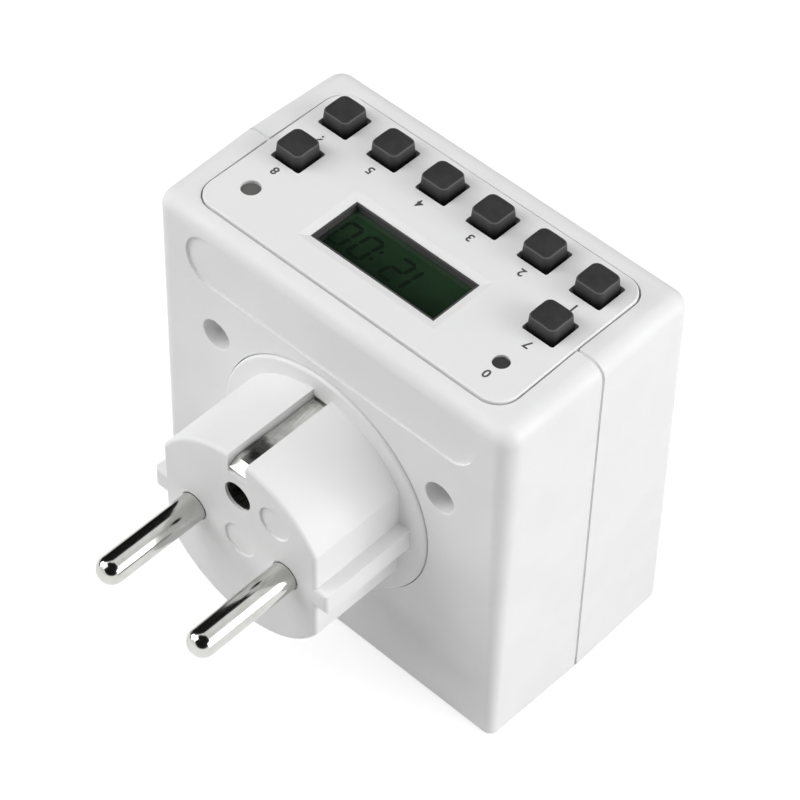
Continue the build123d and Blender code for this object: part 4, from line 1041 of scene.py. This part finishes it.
@dataclass
class Display:
    """The display cell with its segments, its frame, its connectors and the lamp."""

    shop: Workshop
    digits: str = "12:00"
    digit_height: float = 4.9 * MM
    digit_width: float = 2.5 * MM
    digit_pitch: float = 4.1 * MM
    colon_share: float = 0.55
    dot_sides: int = 16
    bar_width: float = 0.68 * MM
    bar_gap: float = 0.12 * MM
    bar_thickness: float = 0.01 * MM
    bar_places: tuple[tuple[int, int], ...] = ((0, 2), (1, 1), (1, -1), (0, -2), (-1, -1), (-1, 1), (0, 0))
    slant: float = 0.12
    start: Pair = (-4.9 * MM, -32.2 * MM)

    def lit_bars(self, digit: str) -> str:
        """Returns a digit's bars, lettered a to f clockwise from the top, with g in the middle."""
        return {"0": "abcdef", "1": "bc", "2": "abged"}[digit]

    def bar(self, letter: str) -> Shape:
        """Makes one bar of a digit around the digit's middle.

        Args:
            letter: The bar's letter.

        Returns:
            The bar: a flat hexagon with pointed ends.
        """
        half_widths, quarter_heights = self.bar_places["abcdefg".index(letter)]
        middle = (half_widths * self.digit_width / 2, quarter_heights * self.digit_height / 4, 0.0)
        upright = letter in "bcef"
        length = (self.digit_height / 2 if upright else self.digit_width) - self.bar_gap
        shoulder = length / 2 - self.bar_width / 2
        shape = bmesh.new()
        bmesh.ops.create_circle(shape, cap_ends=True, radius=length / 2, segments=6)
        for vertex in shape.verts:
            if abs(vertex.co.y) > 0.9 * length / 2:
                vertex.co.x = 0.0
            else:
                vertex.co.x = math.copysign(self.bar_width / 2, vertex.co.x)
                vertex.co.y = math.copysign(shoulder, vertex.co.y)
        if not upright:
            quarter_turn = Matrix.Rotation(math.pi / 2, 3, "Z")
            bmesh.ops.rotate(shape, cent=(0, 0, 0), matrix=quarter_turn, verts=shape.verts)
        bmesh.ops.translate(shape, vec=middle, verts=shape.verts)
        return shape

    def dots(self) -> Shape:
        """Makes the two dots between the hours and the minutes."""
        shape = bmesh.new()
        size = {"radius": self.bar_width / 2, "segments": self.dot_sides}
        for side in (-1, 1):
            place = Matrix.Translation((0.0, side * self.digit_height / 5, 0.0))
            bmesh.ops.create_circle(shape, cap_ends=True, matrix=place, **size)
        return shape

    def segments(self, level: float) -> Shape:
        """Makes the shown time.

        Args:
            level: The height of the display's surface.

        Returns:
            All the bars and dots as closed slabs.
        """
        shown = bmesh.new()
        x = self.start[0]
        for mark in self.digits:
            shapes = [self.dots()] if mark == ":" else [self.bar(letter) for letter in self.lit_bars(mark)]
            for shape in shapes:
                for vertex in shape.verts:
                    vertex.co.x += self.slant * vertex.co.y
                bmesh.ops.translate(shape, vec=(x, self.start[1], level), verts=shape.verts)
                join(shown, shape)
            x += self.digit_pitch * (self.colon_share if mark == ":" else 1.0)
        raised = bmesh.ops.extrude_face_region(shown, geom=shown.faces[:])
        moved = [item for item in raised["geom"] if isinstance(item, bmesh.types.BMVert)]
        bmesh.ops.translate(shown, vec=(0.0, 0.0, self.bar_thickness), verts=moved)
        return shown

    def build(self) -> None:
        """Dresses the display's parts and shows a time."""
        low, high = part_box("lcd_glass")
        # Painted light: the cell is darker towards +Y and lighter and greener towards the user's side.
        cell = DisplayCell("display_cell", tone(20, 32, 22), tone(36, 58, 38), high.y, low.y)
        self.shop.dress(cell, "lcd_glass")
        centre = ((low.x + high.x) / 2, (low.y + high.y) / 2)
        half_size = ((high.x - low.x) / 2, (high.y - low.y) / 2)
        window = {"roughness": 0.5, "centre": centre, "half_size": half_size}
        frame_plastic = WindowFrame("dark_frame", tone(36, 36, 37), tone(30, 30, 31), **window)
        self.shop.dress(frame_plastic, "lcd_frame")
        self.shop.dress(ZEBRA, "zebra_strip_front", "zebra_strip_rear")
        self.shop.dress(LAMP_LENS, "status_led")
        # Painted light: the segments are shaded the same way as the cell.
        segment = DisplayCell("display_segment", tone(15, 24, 17), tone(24, 36, 26), high.y, low.y)
        self.shop.place("display_segments", self.segments(high.z), segment, "dark_frame")


@dataclass
class ControlBoard:
    """The board under the panel with its chip, crystal and backup cell."""

    shop: Workshop

    def build(self) -> None:
        """Dresses the board's parts."""
        self.shop.dress(BOARD, "control_pcb")
        self.shop.dress(ZINC, "control_pcb_screws", "clock_crystal")
        self.shop.dress(EPOXY, "controller_chip")
        self.shop.dress(CELL_SLEEVE, "backup_battery")


@dataclass
class PowerBoard:
    """The board at the bottom with the relay and the parts of its supply."""

    shop: Workshop

    def coat(self, node: str, body: Colour, bands: Bands, roughness: float) -> None:
        """Coats an axial component.

        Args:
            node: The component's node.
            body: The colour of its body.
            bands: Its bands, as shares of its length from the middle, with their colours.
            roughness: The roughness of its body.
        """
        low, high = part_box(node)
        radius = (high.x - low.x) / 2
        placed = tuple(((low.y + high.y) / 2 + share * (high.y - low.y), paint) for share, paint in bands)
        axis_x, axis_z = (low.x + high.x) / 2, high.z - radius
        self.shop.dress(BandedBody(f"{node}_coat", body, axis_x, axis_z, radius, placed, roughness), node)

    def sleeve(self, node: str) -> None:
        """Puts the printed sleeve on the can of a capacitor.

        Args:
            node: The capacitor's node.
        """
        low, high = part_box(node)
        centre = ((low.x + high.x) / 2, (low.y + high.y) / 2)
        dark, pale, bare = tone(34, 36, 70), tone(190, 192, 196), tone(200, 202, 205)
        can = SleevedCan("capacitor_sleeve", dark, pale, bare, centre, high.z, (high.x - low.x) / 2)
        self.shop.dress(can, node)

    def build(self) -> None:
        """Dresses the board's parts."""
        self.shop.dress(BOARD, "power_pcb")
        self.shop.dress(ZINC, "power_pcb_screws")
        self.shop.dress(RELAY_CASE, "relay")
        self.shop.dress(CAPACITOR_CASE, "x2_capacitor")
        self.shop.dress(EPOXY, "bridge_rectifier", "relay_transistor")
        brown, black, gold = tone(96, 56, 30), grey(24), tone(200, 160, 70)
        resistor_bands = ((-0.22, brown), (-0.1, black), (0.02, brown), (0.2, gold))
        self.coat("dropper_resistor", tone(120, 150, 170), resistor_bands, 0.42)
        self.coat("fuse_resistor", tone(120, 140, 110), resistor_bands, 0.42)
        self.coat("zener_diode", tone(196, 96, 40), ((-0.2, black),), 0.08)
        self.sleeve("electrolytic_capacitor")


@dataclass
class Outlet:
    """The outlet's contacts, its earth pin and the sprung shutter behind its holes."""

    shop: Workshop
    shutter_travel: float = 6.0 * MM
    spring_wire: float = 0.22 * MM
    spring_turns: int = 5
    steps_per_turn: int = 24
    wire_sides: int = 10

    def coil(self, low: Vector, high: Vector) -> Shape:
        """Winds the shutter's spring.

        Args:
            low: The lowest corner of the spring's space.
            high: The highest corner of that space.

        Returns:
            The coil, closed at both ends.
        """
        centre = (low + high) / 2
        radius = (high.x - low.x) / 2 - self.spring_wire
        first = Vector((centre.x + radius, centre.y, low.z + self.spring_wire))
        steps = self.spring_turns * self.steps_per_turn
        rise = (high.z - low.z - 2 * self.spring_wire) / steps
        shape = bmesh.new()
        upright = Matrix.Translation(first) @ Matrix.Rotation(math.pi / 2, 4, "X")
        bmesh.ops.create_circle(shape, segments=self.wire_sides, radius=self.spring_wire, matrix=upright)
        bmesh.ops.spin(
            shape,
            geom=shape.verts[:] + shape.edges[:],
            cent=centre,
            axis=(0.0, 0.0, 1.0),
            dvec=(0.0, 0.0, rise),
            angle=2.0 * math.pi * self.spring_turns,
            steps=steps,
        )
        bmesh.ops.holes_fill(shape, edges=[edge for edge in shape.edges if edge.is_boundary], sides=0)
        return shape

    def wind_spring(self) -> None:
        """Puts a wound coil in the spring's place, gives it its own mesh, and hides the imported spring."""
        low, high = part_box("shutter_spring")
        spring = self.shop.place("shutter_coil", self.coil(low, high), SPRING_WIRE, "steel")
        for face in spring.data.polygons:
            face.use_smooth = True
        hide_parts("shutter_spring")
        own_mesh(spring)

    def build(self) -> None:
        """Dresses the outlet's parts and winds the spring."""
        self.shop.dress(INNER_WHITE, "contact_block", "shutter")
        self.shop.dress(NICKEL, "outlet_earth_pin")
        self.shop.dress(BRASS, "outlet_contact_left", "outlet_contact_right", "earth_strap")
        self.shop.dress(SPRING_WIRE, "shutter_spring")
        self.wind_spring()


@dataclass
class Wiring:
    """The insulated wires and the flat cable between the boards."""

    shop: Workshop
    ways: int = 6

    def build(self) -> None:
        """Dresses the wires."""
        self.shop.dress(BROWN_JACKET, "live_wire_in", "live_wire_out")
        self.shop.dress(BLUE_JACKET, "neutral_link", "neutral_supply_wire")
        low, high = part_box("ribbon_cable")
        pitch = (high.y - low.y) / self.ways
        pale, red = tone(176, 176, 178), tone(178, 40, 40)
        self.shop.dress(RibbonJacket("ribbon_jacket", pale, red, low.y, pitch, high.y - pitch), "ribbon_cable")


# ---- studio


@dataclass(frozen=True)
class Softbox:
    """A square studio lamp that faces the timer."""

    name: str
    azimuth: float
    elevation: float
    width: float
    power: float
    mirrored: bool = True
    distance: float = 1.3

    def place(self) -> Vector:
        """Returns where the lamp hangs, from its angles around the origin, from +X towards +Y."""
        turn, lift = math.radians(self.azimuth), math.radians(self.elevation)
        level = math.cos(lift)
        return self.distance * Vector((level * math.cos(turn), level * math.sin(turn), math.sin(lift)))

    def build(self, target: Vector) -> None:
        """Sets the lamp up.

        Args:
            target: The point that it faces.
        """
        lamp = bpy.data.lights.new(self.name, "AREA")
        lamp.shape = "SQUARE"
        lamp.size = self.width
        lamp.energy = self.power
        holder = bpy.data.objects.new(self.name, lamp)
        holder.visible_glossy = self.mirrored
        facing = (self.place() - target).to_track_quat("Z", "Y").to_matrix().to_4x4()
        holder.matrix_world = Matrix.Translation(self.place()) @ facing
        bpy.context.scene.collection.objects.link(holder)
        log.info("lit %s", self.name)


@dataclass
class Studio:
    """A plain pale floor, soft lamps, two dark cloths for the metal to mirror, and the camera."""

    floor_level: float = -34.5 * MM
    floor_half: float = 4.0
    floor_colour: Colour = (0.61, 0.61, 0.61)
    floor_shade: Colour = (0.59, 0.59, 0.59)
    floor_glow: float = 0.62
    target: Point = (0.0, -25.0 * MM, 0.0)
    camera_place: Point = (-203.239 * MM, 188.758 * MM, 343.563 * MM)
    camera_right: Point = (-0.726927, -0.686526, 0.016127)
    camera_up: Point = (0.521504, -0.536611, 0.663387)
    camera_back: Point = (-0.446779, 0.490644, 0.748103)
    focal_length: float = 134.63
    sensor_width: float = 36.0
    white: Colour = (1.0, 1.0, 1.0)
    ambient: float = 0.17
    cloth_colour: Colour = (0.012, 0.012, 0.012)
    side_cloth: Point = (0.852, -0.49, 0.181)
    side_cloth_edge: Pair = (0.46, 0.52)
    high_cloth_edge: Pair = (0.6, 0.68)
    lamps: tuple[Softbox, ...] = (
        Softbox("overhead_lamp", 90.0, 80.0, 1.0, 3.1, mirrored=False),
        Softbox("high_user_lamp", 270.0, 70.0, 1.0, 2.57, mirrored=False),
        Softbox("side_lamp", 195.0, 10.0, 0.8, 10.16),
        Softbox("far_side_lamp", 215.0, 25.0, 0.6, 2.83),
        Softbox("high_front_lamp", 52.0, 45.0, 0.8, 5.14),
        Softbox("low_front_lamp", 30.0, 25.0, 0.6, 4.71),
    )

    def set_camera(self) -> None:
        """Places the camera."""
        lens = bpy.data.cameras.new("camera")
        lens.lens = self.focal_length
        lens.sensor_width = self.sensor_width
        lens.clip_start = 0.01
        lens.clip_end = 50.0
        holder = bpy.data.objects.new("camera", lens)
        turn = Matrix((self.camera_right, self.camera_up, self.camera_back)).transposed().to_4x4()
        holder.matrix_world = Matrix.Translation(self.camera_place) @ turn
        bpy.context.scene.collection.objects.link(holder)
        bpy.context.scene.camera = holder

    def lay_floor(self) -> None:
        """Lays a pale floor that shows as white and still takes the timer's shadow."""
        shape = bmesh.new()
        place = Matrix.Translation((0.0, 0.0, self.floor_level))
        bmesh.ops.create_grid(shape, x_segments=1, y_segments=1, size=self.floor_half, matrix=place)
        mesh = bpy.data.meshes.new("floor")
        shape.to_mesh(mesh)
        shape.free()
        floor = bpy.data.objects.new("floor", mesh)
        bpy.context.scene.collection.objects.link(floor)
        material = bpy.data.materials.new("floor_paper")
        material.use_nodes = True
        graph = Graph(material.node_tree)
        fibre = MOULDED_GRAIN.use(graph, 900.0, 3.0)
        looks = {
            "Base Color": graph.blend(fibre["Cloud"], self.floor_colour, self.floor_shade),
            "Roughness": 0.9,
            "Specular IOR Level": 0.0,
            "Emission Color": self.white,
            "Emission Strength": graph.times(self.seen_rays(graph), self.floor_glow),
        }
        graph.feed(material.node_tree.nodes["Principled BSDF"], looks)
        mesh.materials.append(material)

    def mirrored_rays(self, graph: Graph) -> Socket:
        """Returns 1 for rays from a gloss and through glass."""
        rays = graph.add("ShaderNodeLightPath").outputs
        return graph.math("MAXIMUM", rays["Is Glossy Ray"], rays["Is Transmission Ray"])

    def seen_rays(self, graph: Graph) -> Socket:
        """Returns 1 for rays from the camera, from a gloss and through glass."""
        camera_rays = graph.add("ShaderNodeLightPath").outputs["Is Camera Ray"]
        return graph.math("MAXIMUM", camera_rays, self.mirrored_rays(graph))

    def cloth(self, graph: Graph, centre: Point, edge: Pair) -> Socket:
        """Returns a round mask around one direction of the room.

        Args:
            graph: The world's graph.
            centre: The direction of the cloth's middle.
            edge: The cosines at which the cloth begins and is full.

        Returns:
            The mask.
        """
        direction = graph.add("ShaderNodeTexCoord").outputs["Generated"]
        inputs = {0: direction, 1: Vector(centre).normalized()}
        toward = graph.add("ShaderNodeVectorMath", inputs, operation="DOT_PRODUCT").outputs["Value"]
        return graph.span(toward, *edge)

    def set_world(self) -> None:
        """Fills the room with even light, and hangs the dark cloths at one side and high up."""
        world = bpy.data.worlds.new("studio")
        world.use_nodes = True
        bpy.context.scene.world = world
        graph = Graph(world.node_tree)
        side = self.cloth(graph, self.side_cloth, self.side_cloth_edge)
        high = self.cloth(graph, self.camera_back, self.high_cloth_edge)
        cloths = graph.times(self.mirrored_rays(graph), graph.math("MAXIMUM", side, high))
        room = {
            "Color": graph.blend(cloths, self.white, self.cloth_colour),
            "Strength": graph.grade(self.seen_rays(graph), self.ambient, 1.0),
        }
        graph.feed(world.node_tree.nodes["Background"], room)

    def build(self) -> None:
        """Sets up the whole studio."""
        self.set_camera()
        self.lay_floor()
        self.set_world()
        for lamp in self.lamps:
            lamp.build(Vector(self.target))
        bpy.context.scene.view_settings.view_transform = "Standard"


def main() -> None:
    """Builds every sub-assembly, then the studio."""
    logging.basicConfig(level=logging.INFO, format="%(name)s: %(message)s")
    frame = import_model()
    shop = Workshop(frame["nodes"])
    for assembly in (Case, Plug, ControlPanel, Keypad, Display, ControlBoard, PowerBoard, Outlet, Wiring):
        assembly(shop).build()
        log.info("finished %s", assembly.__name__)
    Studio().build()


if __name__ == "__main__":
    main()
